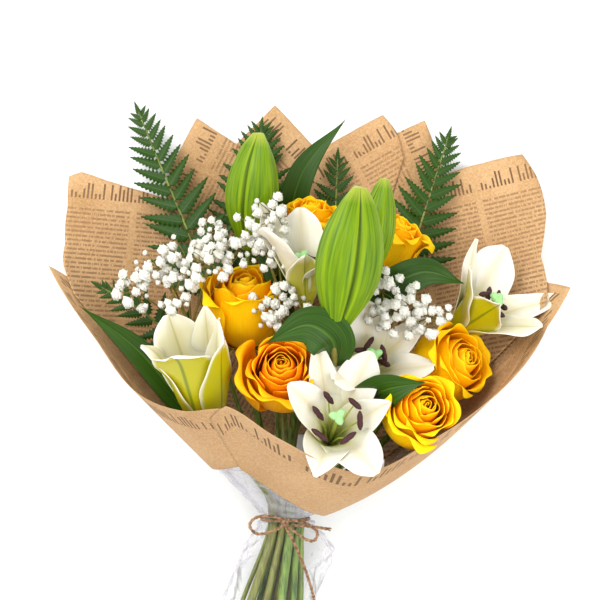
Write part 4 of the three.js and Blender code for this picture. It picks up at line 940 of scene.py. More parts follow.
for bud_name, bud in BUDS.items():
    around, along = BUD_COLUMNS, BUD_ROWS
    columns_at = 2 * np.pi * np.arange(around) / around
    a, v = np.meshgrid(columns_at, np.linspace(0.004, 0.996, along + 1), indexing="ij")
    a, v = a.ravel(), v.ravel()
    outline = profile(BUD_OUTLINE, v)
    third = (a * 3 / (2 * np.pi) + 0.5) % 1 - 0.5          # 0 on a rib, half at a groove
    to_groove = np.abs(np.abs(third) - 0.5)
    groove = np.exp(-(to_groove / 0.035) ** 2)
    second = np.exp(-((np.abs(third) - 0.2) / 0.03) ** 2)
    ridge = np.exp(-(third / 0.05) ** 2)
    shape = 1 + 0.07 * np.cos(3 * a) - 0.12 * groove - 0.035 * second + 0.03 * ridge
    shape = shape * (1 + 0.16 * np.cos(3 * a) * np.clip((v - 0.78) / 0.22, 0, 1))
    r = bud["radius"] * outline * shape * (1.04 - 0.08 * v)
    points = np.stack([r * np.cos(a), r * np.sin(a), bud["length"] * v], axis=1)
    ends = np.array([[0, 0, 0.0], [0, 0, bud["length"]]])
    faces = []
    for i in range(around):
        nxt = (i + 1) % around
        for j in range(along):
            p = i * (along + 1) + j
            q = nxt * (along + 1) + j
            faces.append([p, q, q + 1, p + 1])
        faces.append([len(points), nxt * (along + 1), i * (along + 1)])
        faces.append([len(points) + 1, i * (along + 1) + along, nxt * (along + 1) + along])
    uv = np.vstack([np.stack([a / (2 * np.pi), v], axis=1), [[0.5, 0], [0.5, 1]]])
    pale_edge = np.exp(-((to_groove - 0.07) / 0.03) ** 2) + 0.5 * ridge
    points = stand(np.vstack([points, ends]), bud["base"], bud["axis"], bud["turn"])
    # painted shade: the seam value darkens the grooves where tepals meet and the fine grooves beside each rib
    values = {
        "seam": np.append(0.9 * groove + 0.35 * second, [0, 0]),
        "pale": np.append(0.45 * np.minimum(1, pale_edge), [0, 0.5]),
    }
    closed_bud = mesh_piece(bud_name + "_tepals", points, faces, uv, values)
    closed_bud.data.materials.append(bud_skin)
    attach(closed_bud, "root")
    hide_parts(bud_name)

# ---------------------------------------------------------------- lily stems and leaves
# Stout lily stalks fork to the blooms and buds. Their leaves are long leathery blades with a
# sunk middle rib and straight veins, dark green and shiny above.
# Each side stem: its curve, the flower it carries and its radius.
TWIGS = {
    "lily_3": [([[-2, -62, 58], [-6, -34, 46], [-16, -4, 36], [-32, 20, 41]], "bud_1", 2.2)],
    "lily_4": [
        ([[16, -96, 67], [30, -86, 60]], "lily_4", 2.4),
        ([[23, -70, 90], [26, -48, 84], [36, -22, 82], [50, 0, 90]], "bud_3", 2.0),
    ],
}
# Each leaf: its curve, its width, the way its face looks, how sharply it folds and how it waves.
LEAVES = {
    "lily_1": [
        ([[-60, -113, 70], [-92, -82, 72], [-130, -38, 80], [-175, -4, 82]], 23, [0.2, -0.2, 1], 0.2, 1.5),
    ],
    "lily_3": [
        ([[-14, -8, 36], [-12, 40, 22], [2, 104, 30], [38, 148, 30]], 25, [0, -0.1, 1], 0.2, 1.0),
        ([[0, -30, 70], [-17, 10, 76], [-27, 50, 82], [-18, 88, 84]], 17, [-0.3, 0, 1], 0.3, 0.0),
    ],
    "lily_4": [
        ([[25.5, -51, 118], [24, -30, 146], [6, -19, 153], [-27, -33, 155]], 37, [0.1, -0.25, 1], 0.2, 1.0),
        ([[49.5, -1, 90], [72, 12, 97], [98, 22, 96], [129, 13, 88]], 28, [0, -0.2, 1], 0.2, 1.0),
        ([[37.6, -76.3, 60], [50, -79, 96], [66, -68, 138], [95, -62, 148]], 34, [0, -0.2, 1], 0.2, 0.0),
    ],
}
LEAF = 0.7                         # thickness
LEAF_COLUMNS, LEAF_ROWS = 12, 30
LILY_NECK = 2.8                    # radius of a stalk under its bloom


def leaf_blade(points, width, facing, fold, wave, seed):
    """A leaf folded on its middle rib along a curve, as a closed shell."""
    u, v = net(LEAF_COLUMNS, LEAF_ROWS)
    step = 0.004
    middle = smooth_path(points, v)
    ahead = unit(smooth_path(points, np.minimum(1, v + step)) - smooth_path(points, np.maximum(0, v - step)))
    side = unit(np.cross(ahead, unit(np.array(facing, float))))
    up = unit(np.cross(side, ahead))
    half = width / 2 * (0.07 + 0.93 * np.sin(np.pi * (0.06 + 0.9 * v ** 0.9)) ** 0.9)
    half = half * (1 - 0.97 * np.clip((v - 0.66) / 0.34, 0, 1) ** 1.8)
    lift = fold * half * np.abs(u) ** 1.3 + wave * np.sin(9 * v) * u
    lift = lift + 0.7 * np.sin(14 * v + seed) * u * np.abs(u) - 0.5 * np.exp(-(u / 0.07) ** 2)
    sheet = middle + side * (u * half)[:, None] + up * lift[:, None]
    points_made, faces, _ = shell(sheet, up, LEAF, LEAF_COLUMNS, LEAF_ROWS)
    uv = np.stack([(u + 1) / 2, v], axis=1)
    return points_made, faces, np.vstack([uv, uv])


def leaf_material(name, shaded, lit, rib_colour, roughness):
    """A waxy leaf skin: straight veins along the blade, the middle rib a little paler."""
    made, tree, shade = skin(name, Roughness=roughness, Specular_IOR_Level=0.22)
    where = node(tree, "ShaderNodeUVMap", uv_map="UVMap")
    fan = node(tree, "ShaderNodeMapping", {"Vector": where.outputs["UV"]}, in_Scale=(34, 1.6, 1))
    veins = node(tree, "ShaderNodeTexNoise", {"Vector": fan.outputs["Vector"]}, in_Scale=1.0, in_Detail=2.0)
    body = node(tree, "ShaderNodeValToRGB", {"Fac": veins.outputs["Fac"]})
    ramp(body, (0.3, shaded), (0.72, lit))
    split = node(tree, "ShaderNodeSeparateXYZ", {"Vector": where.outputs["UV"]})
    off = node(tree, "ShaderNodeMath", {0: split.outputs["X"]}, operation="SUBTRACT", in_1=0.5)
    off = node(tree, "ShaderNodeMath", {0: off.outputs[0]}, operation="ABSOLUTE")
    near = node(tree, "ShaderNodeMapRange", {"Value": off.outputs[0]}, in_1=0.035, in_2=0.0, in_4=0.5)
    rib_mix = {0: near.outputs["Result"], 6: body.outputs["Color"]}
    ribbed = node(tree, "ShaderNodeMix", rib_mix, data_type="RGBA", in_7=linear(rib_colour))
    tree.links.new(ribbed.outputs[2], shade.inputs["Base Color"])
    bump = node(
        tree, "ShaderNodeBump", {"Height": veins.outputs["Fac"]}, in_Strength=0.35, in_Distance=0.3 * MM,
    )
    tree.links.new(bump.outputs["Normal"], shade.inputs["Normal"])
    return made


lily_leaf = leaf_material("shiny_lily_leaf", "1c3804", "355a0a", "567a22", 0.4)


def stalk_end(flower):
    """A stem meets its bloom or bud square on."""
    way = unit(np.array(flower["axis"], float))
    return [np.array(flower["base"]) + back * way for back in (-9, -0.65)]


for lily_name, lily in LILIES.items():
    stems = Parts()
    if lily_name == "lily_4":
        route = [[5, -130, 52], [14, -100, 64], [22, -76, 84], [25, -58, 108], [26, -44, 128]]
        add_stalk(stems, lily_name, route + stalk_end(BUDS["bud_2"]), LILY_NECK)
    else:
        add_stalk(stems, lily_name, lily["via"] + stalk_end(lily), LILY_NECK)
    for twig, head, thick in TWIGS.get(lily_name, []):
        flower = BUDS.get(head) or LILIES[head]
        line = even_path(twig + stalk_end(flower), 50)
        stems.add(*tube(line, np.linspace(thick + 0.3, thick, 51), 12), cut=0.0, tone=0.1)
    stalks = stems.piece(lily_name + "_stalk")
    stalks.data.materials.append(stalk)
    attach(stalks, "root")
    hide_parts(lily_name + "_stem")
    if lily_name not in LEAVES:
        continue
    blades = Parts()
    for number, (route, width, facing, fold, wave) in enumerate(LEAVES[lily_name]):
        blades.add(*leaf_blade(route, width, facing, fold, wave, number))
    foliage = blades.piece(lily_name + "_leaves")
    foliage.data.materials.append(lily_leaf)
    rounded(foliage)
    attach(foliage, "root")
    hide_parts(lily_name + "_stem")

# ---------------------------------------------------------------- leatherleaf fern
# Five fronds of leatherleaf fern lie against the back of the wrap. Toothed glossy leaflets stand
# by turns left and right of a wiry rib and shorten towards its tip.
FERNS = {
    "fern_1": {
        "via": [[-44, -104, 30], [-68, -30, 28]], "leaflets": 14, "reach": 46,
        "path": [[-74, 0, 27], [-88, 46, 22], [-112, 104, 15], [-133, 155, 13]],
    },
    "fern_2": {
        "via": [[-20, -80, 14]], "leaflets": 13, "reach": 56,
        "path": [[-30, 0, 11], [-35, 50, 10], [-36, 100, 9], [-32, 142, 9]],
    },
    "fern_3": {
        "via": [[36, -90, 20], [66, -30, 20]], "leaflets": 13, "reach": 44,
        "path": [[78, 0, 20], [92, 40, 16], [108, 90, 13], [122, 134, 13]],
    },
    "fern_4": {
        "via": [[4, -80, 13]], "leaflets": 10, "reach": 40,
        "path": [[18, 0, 11], [25, 30, 10], [29, 70, 9], [31, 116, 9]],
    },
    "fern_5": {
        "via": [[-46, -124, 52]], "leaflets": 10, "reach": 34,
        "path": [[-78, -56, 60], [-104, -28, 63], [-130, -6, 65], [-158, 10, 66]],
    },
}
SLANT, SLANT_LOST = 64, 24         # degrees from the rib at the foot, and how much less at the tip
TEETH = 9
RIB_STEPS = 200
FERN_SEED = 80


def repeat_tree(name):
    """Geometry Nodes that set one shape on every point, turned by "turn" and sized by "reach"."""
    made = bpy.data.node_groups.new(name, "GeometryNodeTree")
    for label, kind in (("Points", "NodeSocketGeometry"), ("Shape", "NodeSocketObject"),
                        ("Overall Size", "NodeSocketFloat"), ("Finish", "NodeSocketMaterial")):
        made.interface.new_socket(label, in_out="INPUT", socket_type=kind)
    made.interface.new_socket("Mesh", in_out="OUTPUT", socket_type="NodeSocketGeometry")
    given = node(made, "NodeGroupInput")
    shape = node(made, "GeometryNodeObjectInfo", {"Object": given.outputs["Shape"]})
    turn = node(made, "GeometryNodeInputNamedAttribute", data_type="FLOAT_VECTOR", in_Name="turn")
    size = node(made, "GeometryNodeInputNamedAttribute", data_type="FLOAT_VECTOR", in_Name="reach")
    scaled = node(made, "ShaderNodeVectorMath", {0: size.outputs["Attribute"]}, operation="SCALE")
    made.links.new(given.outputs["Overall Size"], scaled.inputs["Scale"])
    turned = node(made, "FunctionNodeEulerToRotation", {0: turn.outputs["Attribute"]})
    placed = node(made, "GeometryNodeInstanceOnPoints", {
        "Points": given.outputs["Points"], "Instance": shape.outputs["Geometry"],
        "Rotation": turned.outputs[0], "Scale": scaled.outputs["Vector"],
    })
    real = node(made, "GeometryNodeRealizeInstances", {"Geometry": placed.outputs["Instances"]})
    finished = node(made, "GeometryNodeSetMaterial", {
        "Geometry": real.outputs["Geometry"], "Material": given.outputs["Finish"],
    })
    node(made, "NodeGroupOutput", {"Mesh": finished.outputs["Geometry"]})
    return made


repeat = repeat_tree("shape_on_points")


def repeated(name, shape, spots, turns, sizes, finish):
    """A plain mesh piece of one shape set on every spot by Geometry Nodes."""
    carrier_mesh = bpy.data.meshes.new(name + "_spots")
    carrier_mesh.from_pydata((np.asarray(spots) * MM).tolist(), [], [])
    for key, rows in (("turn", turns), ("reach", sizes)):
        layer = carrier_mesh.attributes.new(key, "FLOAT_VECTOR", "POINT")
        layer.data.foreach_set("vector", np.asarray(rows, float).ravel())
    carrier = bpy.data.objects.new(name + "_spots", carrier_mesh)
    bpy.context.scene.collection.objects.link(carrier)
    setting = carrier.modifiers.new("repeat", "NODES")
    setting.node_group = repeat
    sockets = {item.name: item.identifier for item in repeat.interface.items_tree if item.in_out == "INPUT"}
    setting[sockets["Shape"]] = shape
    setting[sockets["Overall Size"]] = 1.0
    setting[sockets["Finish"]] = finish
    ready = carrier.evaluated_get(bpy.context.evaluated_depsgraph_get())
    mesh = bpy.data.meshes.new_from_object(ready)
    mesh.name = name
    carrier.modifiers.remove(setting)
    bpy.data.objects.remove(carrier)
    made = bpy.data.objects.new(name, mesh)
    bpy.context.scene.collection.objects.link(made)
    return made


def template(name, points, faces, uv, values=None):
    """The shape that is repeated: made at the origin, and kept out of the picture."""
    made = mesh_piece(name, points, faces, uv, values)
    made.hide_render = True
    return made


fern_leaf = leaf_material("leatherleaf_fern", "153004", "33590c", "5a7c28", 0.45)

# One leaflet, a metre long and half a metre wide each way, so that a size sets both.
rows = 2 * TEETH
u, v = net(2, rows)
edge = np.minimum(1, 0.4 + v / 0.16) * (1 - v ** 1.5) + 0.03
edge = edge * np.where((np.round(v * rows) % 2 == 0) | (v == 1), 0.58, 1.0)
lean_forward = np.where(np.abs(u) > 0.5, 0.035, 0.0)
sunk = -0.05 * v ** 2 + 0.05 * np.abs(u) * edge
sheet = np.stack([v + lean_forward * (v < 0.99), 0.5 * u * edge, sunk], axis=1)
leaflet_points, leaflet_faces, _ = shell(sheet, np.tile([0.0, 0.0, -1.0], (len(sheet), 1)), 0.012, 2, rows)
leaflet_uv = np.stack([(u + 1) / 2, v], axis=1)
leaflet = template("fern_leaflet", leaflet_points / MM, leaflet_faces, np.vstack([leaflet_uv, leaflet_uv]))


def turn_of(ahead, up):
    """The Euler turn that sets +X ahead and +Z near up."""
    x = ahead / np.linalg.norm(ahead)
    y = np.cross(up, x)
    y = y / np.linalg.norm(y)
    z = np.cross(x, y)
    return list(Matrix([[x[k], y[k], z[k]] for k in range(3)]).to_euler())


for fern_name, fern in FERNS.items():
    rng = np.random.default_rng(int(fern_name[-1]) + FERN_SEED)
    line = even_path(fern["path"], RIB_STEPS)
    length = float(np.linalg.norm(np.diff(line, axis=0), axis=1).sum())
    ahead = unit(np.gradient(line, axis=0))
    side = unit(np.cross(np.array([0, -0.1, 1.0]), ahead))
    up = unit(np.cross(ahead, side))
    count = fern["leaflets"]
    step = length * 0.9 / count
    spots, turns, sizes = [], [], []
    for hand, shift in ((1, 0.1), (-1, 0.6)):
        for k in range(count):
            place = (k + shift) / count
            share = 0.05 + 0.93 * (1 - (1 - place) ** 1.4)
            at = min(RIB_STEPS, int(round(share * RIB_STEPS)))
            first = 0.86 if k == 0 else 1
            long = fern["reach"] * (1 - 0.8 * place ** 1.15) * first * (0.94 + 0.1 * rng.random())
            slant = math.radians(SLANT - SLANT_LOST * k / count) + 0.06 * rng.normal()
            way = ahead[at] * math.cos(slant) + hand * side[at] * math.sin(slant)
            way = way + up[at] * (0.05 * rng.normal() - 0.04)
            spots.append(line[at])
            turns.append(turn_of(way, up[at] + 0.18 * rng.normal() * side[at]))
            wide = min(1.5 * step * (1 - place) ** 0.3 + 1.5, 0.34 * long + 2.4)
            sizes.append([long * MM, wide * MM, long * MM])
    spots.append(line[-4])
    turns.append(turn_of(ahead[-1], up[-1]))
    sizes.append([12 * MM, 6 * MM, 12 * MM])
    fronds = repeated(fern_name + "_leaflets", leaflet, spots, turns, sizes, fern_leaf)
    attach(fronds, "root")
    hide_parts(fern_name)
    wire = Parts()
    add_stalk(wire, fern_name, fern["via"] + [fern["path"][0]], 1.3, sides=8)
    wire.add(*tube(even_path(fern["path"], 60), np.linspace(1.5, 0.5, 61), 8), cut=0.0, tone=0.3)
    rib_piece = wire.piece(fern_name + "_rib")
    rib_piece.data.materials.append(stalk)
    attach(rib_piece, "root")
    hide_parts(fern_name)

# ---------------------------------------------------------------- double gypsophila
# Four sprays of double gypsophila fill the gaps. From each fork wiry twigs branch to many
# little ball-shaped flowers of crumpled white petals, each in a tiny green cup.
SPRAYS = {
    "gypsophila_1": {
        "via": [[-46, -110, 56], [-82, -60, 64], [-86, -22, 78]], "seed": 11, "florets": 112,
        "hubs": [
            [-128, 6, 88], [-112, 26, 84], [-98, 8, 96], [-90, 34, 88], [-70, 28, 104],
            [-66, 50, 84], [-48, 40, 96],
        ],
    },
    "gypsophila_2": {
        "via": [[-14, -90, 54], [-11, -34, 74], [-12, -6, 85]], "seed": 5, "florets": 46,
        "hubs": [[-26, 38, 94], [-34, 56, 94], [-22, 68, 96]],
    },
    "gypsophila_3": {
        "via": [[-18, -118, 50], [-16, -60, 60], [-9, -28, 84]], "seed": 23, "florets": 30,
        "hubs": [[-8, -12, 96], [-20, -2, 98]],
    },
    "gypsophila_4": {
        "via": [[16, -110, 48], [58, -56, 58], [72, -26, 84]], "seed": 31, "florets": 58,
        "hubs": [[72, -8, 108], [88, -6, 108], [64, 6, 108], [100, -14, 104]],
    },
}

# The petals are matt white, with painted shade between their crumpled edges.
floret_petal, tree, shade = skin(
    "gypsophila_petal", Roughness=0.8, Subsurface_Weight=0.3,
    Subsurface_Radius=(1.0, 1.0, 0.9), Subsurface_Scale=1.5 * MM,
)
# cup is 1 on the green cup under the petals
cup = node(tree, "ShaderNodeAttribute", attribute_name="cup")
spot = node(tree, "ShaderNodeTexCoord")
PETAL_EDGE = 0.9                   # mm between the edges of the crumpled petals
edge_scale = 1 / (PETAL_EDGE * 1.6 * MM)
crumple = node(
    tree, "ShaderNodeTexVoronoi", {"Vector": spot.outputs["Object"]}, feature="F1", in_Scale=edge_scale,
)
# painted shade: the white is darkened away from the middle of each crumple, towards the edges between them
body = node(
    tree, "ShaderNodeMapRange", {"Value": crumple.outputs["Distance"]},
    in_1=0.1, in_2=0.7, in_3=1.0, in_4=0.84,
)
white = node(tree, "ShaderNodeHueSaturation", {"Value": body.outputs["Result"]}, in_Color=linear("f1efe3"))
cup_mix = {0: cup.outputs["Fac"], 6: white.outputs["Color"]}
greened = node(tree, "ShaderNodeMix", cup_mix, data_type="RGBA", in_7=linear("b9bd72"))
tree.links.new(greened.outputs[2], shade.inputs["Base Color"])
bump = node(
    tree, "ShaderNodeBump", {"Height": crumple.outputs["Distance"]}, in_Strength=0.8, in_Distance=0.5 * MM,
)
tree.links.new(bump.outputs["Normal"], shade.inputs["Normal"])

# One flower of unit radius round +X: crumpled rings that open from a narrow cup.
RINGS = [
    (-0.95, 0.2), (-0.5, 0.72), (-0.12, 1.0), (0.06, 0.86), (0.2, 0.66), (0.36, 0.8), (0.5, 0.56),
    (0.6, 0.4), (0.78, 0.42), (0.84, 0.2),
]
POINTS_ROUND = 15
LOBES = 5
FLORET, BUDLET = 4.3, 2.2          # radius of an open flower and of a closed one
FLORET_GAP = 5.8                   # least distance between two flowers
FLOWER_SEED = 3
rng = np.random.default_rng(FLOWER_SEED)
flower_points, flower_cup = [], []
for number, (rise, wide) in enumerate(RINGS):
    for k in range(POINTS_ROUND):
        a = 2 * math.pi * k / POINTS_ROUND
        wave = math.cos(LOBES * a + 1.7 * (number // 3)) if number else 0.0
        crimp = 1 + 0.15 * wave + 0.12 * rng.normal()
        height = rise + 0.08 * wave + 0.09 * rng.normal()
        flower_points.append([height, wide * crimp * math.cos(a), wide * crimp * math.sin(a)])
        flower_cup.append(1.0 if number == 0 else 0.0)
flower_faces = []
for number in range(len(RINGS) - 1):
    for k in range(POINTS_ROUND):
        n = (k + 1) % POINTS_ROUND
        a, b = number * POINTS_ROUND, (number + 1) * POINTS_ROUND
        flower_faces.append([a + k, a + n, b + n, b + k])
flower_faces.append(list(range(POINTS_ROUND))[::-1])
top = len(flower_points)
flower_points.append([0.8, 0, 0])
flower_cup.append(0.0)
for k in range(POINTS_ROUND):
    flower_faces.append([top - POINTS_ROUND + k, top - POINTS_ROUND + (k + 1) % POINTS_ROUND, top])
flower = template(
    "gypsophila_flower", np.array(flower_points) / MM, flower_faces,
    np.zeros((len(flower_points), 2)), {"cup": flower_cup},
)

for spray_name, one in SPRAYS.items():
    rng = np.random.default_rng(one["seed"])
    hubs = np.array(one["hubs"], float)
    fork = np.array(one["via"][-1], float)
    twigs = Parts()
    add_stalk(twigs, spray_name, one["via"], 1.2, sides=8)
    for hub in hubs:
        bend = (fork + hub) / 2 + [0, 0, -4]
        twigs.add(*tube(even_path([fork, bend, hub], 14), np.linspace(0.95, 0.6, 15), 7), cut=0.0, tone=0.7)
    heads, turns, sizes = [], [], []
    for attempt in range(one["florets"] * 30):
        if len(heads) == one["florets"]:
            break
        hub = hubs[attempt % len(hubs)]
        swing, rise = rng.random() * 2 * math.pi, -0.1 + 1.1 * rng.random()
        flat = math.sqrt(max(0.0, 1 - rise * rise))
        way = np.array([flat * math.cos(swing), flat * math.sin(swing), rise])
        head = hub + way * (7 + 14 * rng.random())
        size = FLORET * (0.7 + 0.45 * rng.random()) if rng.random() > 0.2 else BUDLET
        if heads and np.min(np.linalg.norm(np.array(heads) - head, axis=1)) < FLORET_GAP:
            continue
        heads.append(head)
        tilted = unit(way + [0, -0.1, 0.5])
        turns.append(turn_of(tilted, np.array([0.3, 0.9, 0.2])))
        sizes.append([size * MM] * 3)
        bend = hub + way * 5 + rng.normal(size=3) * 1.2
        twig_line = even_path([hub, bend, head - tilted * 0.7 * size], 6)
        twigs.add(*tube(twig_line, np.linspace(0.42, 0.3, 7), 5), cut=0.0, tone=0.8)
    cloud = repeated(spray_name + "_flowers", flower, heads, turns, sizes, floret_petal)
    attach(cloud, "root")
    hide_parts(spray_name)
    branch = twigs.piece(spray_name + "_twigs")
    branch.data.materials.append(stalk)
    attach(branch, "root")
    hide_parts(spray_name)
for shape in (leaflet, flower):
    bpy.data.objects.remove(shape)

# ---------------------------------------------------------------- printed kraft paper
# The bouquet is rolled in loose square sheets of brown kraft paper, printed like an old news
# page. Six sheets fan out behind the flowers, one closes the left side and one the front.
PAPER = 0.6                        # a layer of the wrap in the solids, drawn thicker than life
SHEET = 0.25                       # thickness that is drawn here
LAYER = PAPER + CLEARANCE
FLOOR = LAYER + PAPER              # the wrap's inside is never lower than this
SAG, SWELL = 16, 11                # how far the back sinks and the right side bulges
AT_RIGHT = 0.64                    # where round the wrap it bulges most
BACK_FOOT = 0.22                   # how far up the wrap the back sheets start
SHEET_SPAN, SHEET_ROWS = 8, 40     # columns for each span of a top edge, and rows
PRINT_ROUND, PRINT_SHIFT = 760, 400  # mm round the wrap for its print, and where the back's starts
# The rim of the wrap, all round it from the middle of the back.
RIM = [
    [0, 125, 0], [-70, 120, 1], [-125, 100, 3], [-165, 75, 12], [-186, 40, 30],
    [-180, 5, 58], [-158, -31, 86], [-126, -70, 106], [-90, -84, 122], [-53, -84, 136],
    [-14, -106, 143], [45, -129, 140], [102, -103, 127], [148, -73, 105], [180, -40, 82],
    [198, -4, 56], [197, 35, 30], [180, 75, 12], [130, 108, 3], [70, 122, 1],
]
# Each back sheet: places along its top edge seen from above, and the slope of its print.
BACK_SHEETS = [
    ([[-190, 102], [-180, 106], [-160, 99], [-141, 93], [-110, 84]], -5),
    ([[-112, 92], [-107.7, 107.7], [-97, 129], [-85.3, 150.8], [-68, 139], [-52, 128.5], [-44, 112]], 63),
    ([[-66, 112], [-49.7, 132.6], [-35, 147], [-20.7, 161.7], [-4, 144], [12.4, 126], [30, 112]], -46),
    ([[6, 112], [16.6, 124.3], [42, 139], [68.8, 153.4], [75, 146], [80.4, 138.4], [86, 118]], 30),
    ([[62, 112], [80.4, 138.4], [92, 144], [103.6, 149.1], [112, 126], [120, 103.5], [124, 90]], -66),
    ([[112, 92], [120, 103.5], [152, 113], [183.8, 120.1]], 13),
]
# Places on the wrap: how far round it from the middle of the back, and how far up it to the rim.
LEFT_SIDE = [[0.25, 1.0], [0.225, 1.03], [0.2, 1.03], [0.175, 1.08]]
RIGHT_SIDE = [[-0.175, 1.06], [-0.2, 1.0], [-0.225, 1.0], [-0.25, 1.0]]
LEFT_TOP = [
    [0.2, 0.9], [0.225, 0.97], [0.25, 1.13], [0.275, 1.07], [0.3, 1.0], [0.375, 1.0], [0.45, 1.02],
    [0.5, 0.97],
]
LEFT_FOOT = [[0.2, 0.3], [0.3, 0.34], [0.4, 0.5], [0.5, 0.6]]
FRONT_TOP = [
    [0.425, 0.94], [0.45, 1.06], [0.475, 1.06], [0.55, 1.02], [0.725, 1.02], [0.75, 1.09],
    [0.775, 1.0], [0.825, 0.9],
]
FRONT_FOOT = [[0.425, 0.5], [0.45, 0.4], [0.55, 0.34], [0.575, 0.25], [0.625, 0.3], [0.825, 0.3]]


def ruling(t):
    """The foot and the top of a straight line up the wrap, at a share of the way round it."""
    angle = -np.pi / 2 - 2 * np.pi * t
    foot = TIE + NECK * np.stack([np.cos(angle), 0 * angle, np.sin(angle)], axis=-1)
    return foot, smooth_path(RIM, t, closed=True)


def wrap_inside(t, v):
    """Points on the wrap's inside, at shares of the way round it and up it."""
    foot, rim = ruling(t)
    point = foot + (rim - foot) * v[..., None]
    arch = np.sin(np.pi * np.clip(v, 0, 1))
    at_back = np.maximum(0, np.cos(2 * np.pi * t))
    at_right = np.maximum(0, np.cos(2 * np.pi * (t - AT_RIGHT))) ** 2
    point[..., 0] += SWELL * arch * at_right * 0.6
    point[..., 1] -= SWELL * arch * at_right * 0.8
    point[..., 2] = np.maximum(FLOOR, point[..., 2] - SAG * arch * at_back)
    return point


def wrap_outward(t, v):
    """The way out of the wrap, square to it."""
    step = 0.004
    around = wrap_inside(t + step, v) - wrap_inside(t - step, v)
    up = wrap_inside(t, v + step) - wrap_inside(t, v - step)
    return unit(np.cross(around, up))


def on_back(x, y):
    """Where the back of the wrap passes a place seen from above."""
    low, high = -0.27, 0.27
    for _ in range(40):
        middle = (low + high) / 2
        foot, rim = ruling(np.array(middle))
        if (rim[0] - foot[0]) * (y - foot[1]) - (rim[1] - foot[1]) * (x - foot[0]) > 0:
            low = middle
        else:
            high = middle
    foot, rim = ruling(np.array(low))
    return [low, math.hypot(x - foot[0], y - foot[1]) / math.hypot(rim[0] - foot[0], rim[1] - foot[1])]


# Unbleached kraft: tan, matt, with darker fibres and soft creases, and a thin brown ink. The
# print is only greeked: rows of broken dashes for text, and rows of plain strokes for a title.
kraft, tree, shade = skin("printed_kraft_paper", Roughness=0.85)
spot = node(tree, "ShaderNodeTexCoord")
clouds = node(tree, "ShaderNodeTexNoise", {"Vector": spot.outputs["Object"]}, in_Scale=14.0, in_Detail=3.0)
fibres = node(tree, "ShaderNodeTexNoise", {"Vector": spot.outputs["Object"]}, in_Scale=620.0, in_Detail=4.0)
clouds_and_fibres = {2: clouds.outputs["Fac"], 3: fibres.outputs["Fac"]}
pulp = node(tree, "ShaderNodeMix", clouds_and_fibres, data_type="FLOAT", in_0=0.55)
tan = node(tree, "ShaderNodeValToRGB", {"Fac": pulp.outputs[0]})
ramp(tan, (0.36, "ae8556"), (0.62, "cda678"))
where = node(tree, "ShaderNodeUVMap", uv_map="UVMap")
split = node(tree, "ShaderNodeSeparateXYZ", {"Vector": where.outputs["UV"]})
across, down = split.outputs["X"], split.outputs["Y"]
TEXT_PITCH, LETTER, COLUMN = 3.7, 0.8, 56.0      # mm: rows of text, its dashes, its columns
ROW_INKED, COLUMN_INKED, STROKE_INKED = 0.46, 0.9, 0.48   # the share of each that is printed
TEXT_TOP = 29.0                    # mm below the sheet's corner
TEXT_INK = 0.62                    # how dark the text is beside the title
row = node(tree, "ShaderNodeMath", {0: down}, operation="DIVIDE", in_1=TEXT_PITCH)
row_number = node(tree, "ShaderNodeMath", {0: row.outputs[0]}, operation="FLOOR")
row_place = node(tree, "ShaderNodeMath", {0: row.outputs[0]}, operation="FRACT")
in_row = node(tree, "ShaderNodeMath", {0: row_place.outputs[0]}, operation="LESS_THAN", in_1=ROW_INKED)
letter = node(tree, "ShaderNodeMath", {0: across}, operation="DIVIDE", in_1=LETTER)
letter = node(tree, "ShaderNodeMath", {0: letter.outputs[0]}, operation="FLOOR")
cell = node(tree, "ShaderNodeCombineXYZ", {"X": letter.outputs[0], "Y": row_number.outputs[0]})
chance = node(tree, "ShaderNodeTexWhiteNoise", {"Vector": cell.outputs[0]}, noise_dimensions="2D")
inked = node(tree, "ShaderNodeMapRange", {"Value": chance.outputs["Value"]}, in_1=0.16, in_2=0.3)
column = node(tree, "ShaderNodeMath", {0: across}, operation="DIVIDE", in_1=COLUMN)
column = node(tree, "ShaderNodeMath", {0: column.outputs[0]}, operation="FRACT")
in_column = node(tree, "ShaderNodeMath", {0: column.outputs[0]}, operation="LESS_THAN", in_1=COLUMN_INKED)
below_title = node(tree, "ShaderNodeMath", {0: down}, operation="GREATER_THAN", in_1=TEXT_TOP)
side_shown = node(tree, "ShaderNodeAttribute", attribute_name="side")
inner_side = node(tree, "ShaderNodeMath", {0: side_shown.outputs["Fac"]}, operation="LESS_THAN", in_1=0.5)
text = in_row
for limit in (inked, in_column, below_title, inner_side):
    text = node(tree, "ShaderNodeMath", {0: text.outputs[0], 1: limit.outputs[0]}, operation="MULTIPLY")
text = node(tree, "ShaderNodeMath", {0: text.outputs[0]}, operation="MULTIPLY", in_1=TEXT_INK)
TITLE_TOP, TITLE_FOOT, STROKE = 8.5, 21.5, 3.2  # mm below the sheet's corner, and between strokes
rise = node(tree, "ShaderNodeMapRange", {"Value": down}, in_1=TITLE_FOOT, in_2=TITLE_TOP, clamp=False)
mark = node(tree, "ShaderNodeMath", {0: across}, operation="DIVIDE", in_1=STROKE)
mark_number = node(tree, "ShaderNodeMath", {0: mark.outputs[0]}, operation="FLOOR")
mark_place = node(tree, "ShaderNodeMath", {0: mark.outputs[0]}, operation="FRACT")
thin = node(tree, "ShaderNodeTexWhiteNoise", {"W": mark_number.outputs[0]}, noise_dimensions="1D")
tall = node(
    tree, "ShaderNodeMapRange", {"Value": thin.outputs["Value"]}, in_1=0.0, in_2=1.0, in_3=-0.1, in_4=1.7,
)
tall = node(tree, "ShaderNodeMath", {0: tall.outputs["Result"]}, operation="MINIMUM", in_1=1.0)
under = node(tree, "ShaderNodeMath", {0: rise.outputs["Result"], 1: tall.outputs[0]}, operation="LESS_THAN")
over = node(tree, "ShaderNodeMath", {0: rise.outputs["Result"]}, operation="GREATER_THAN", in_1=0.0)
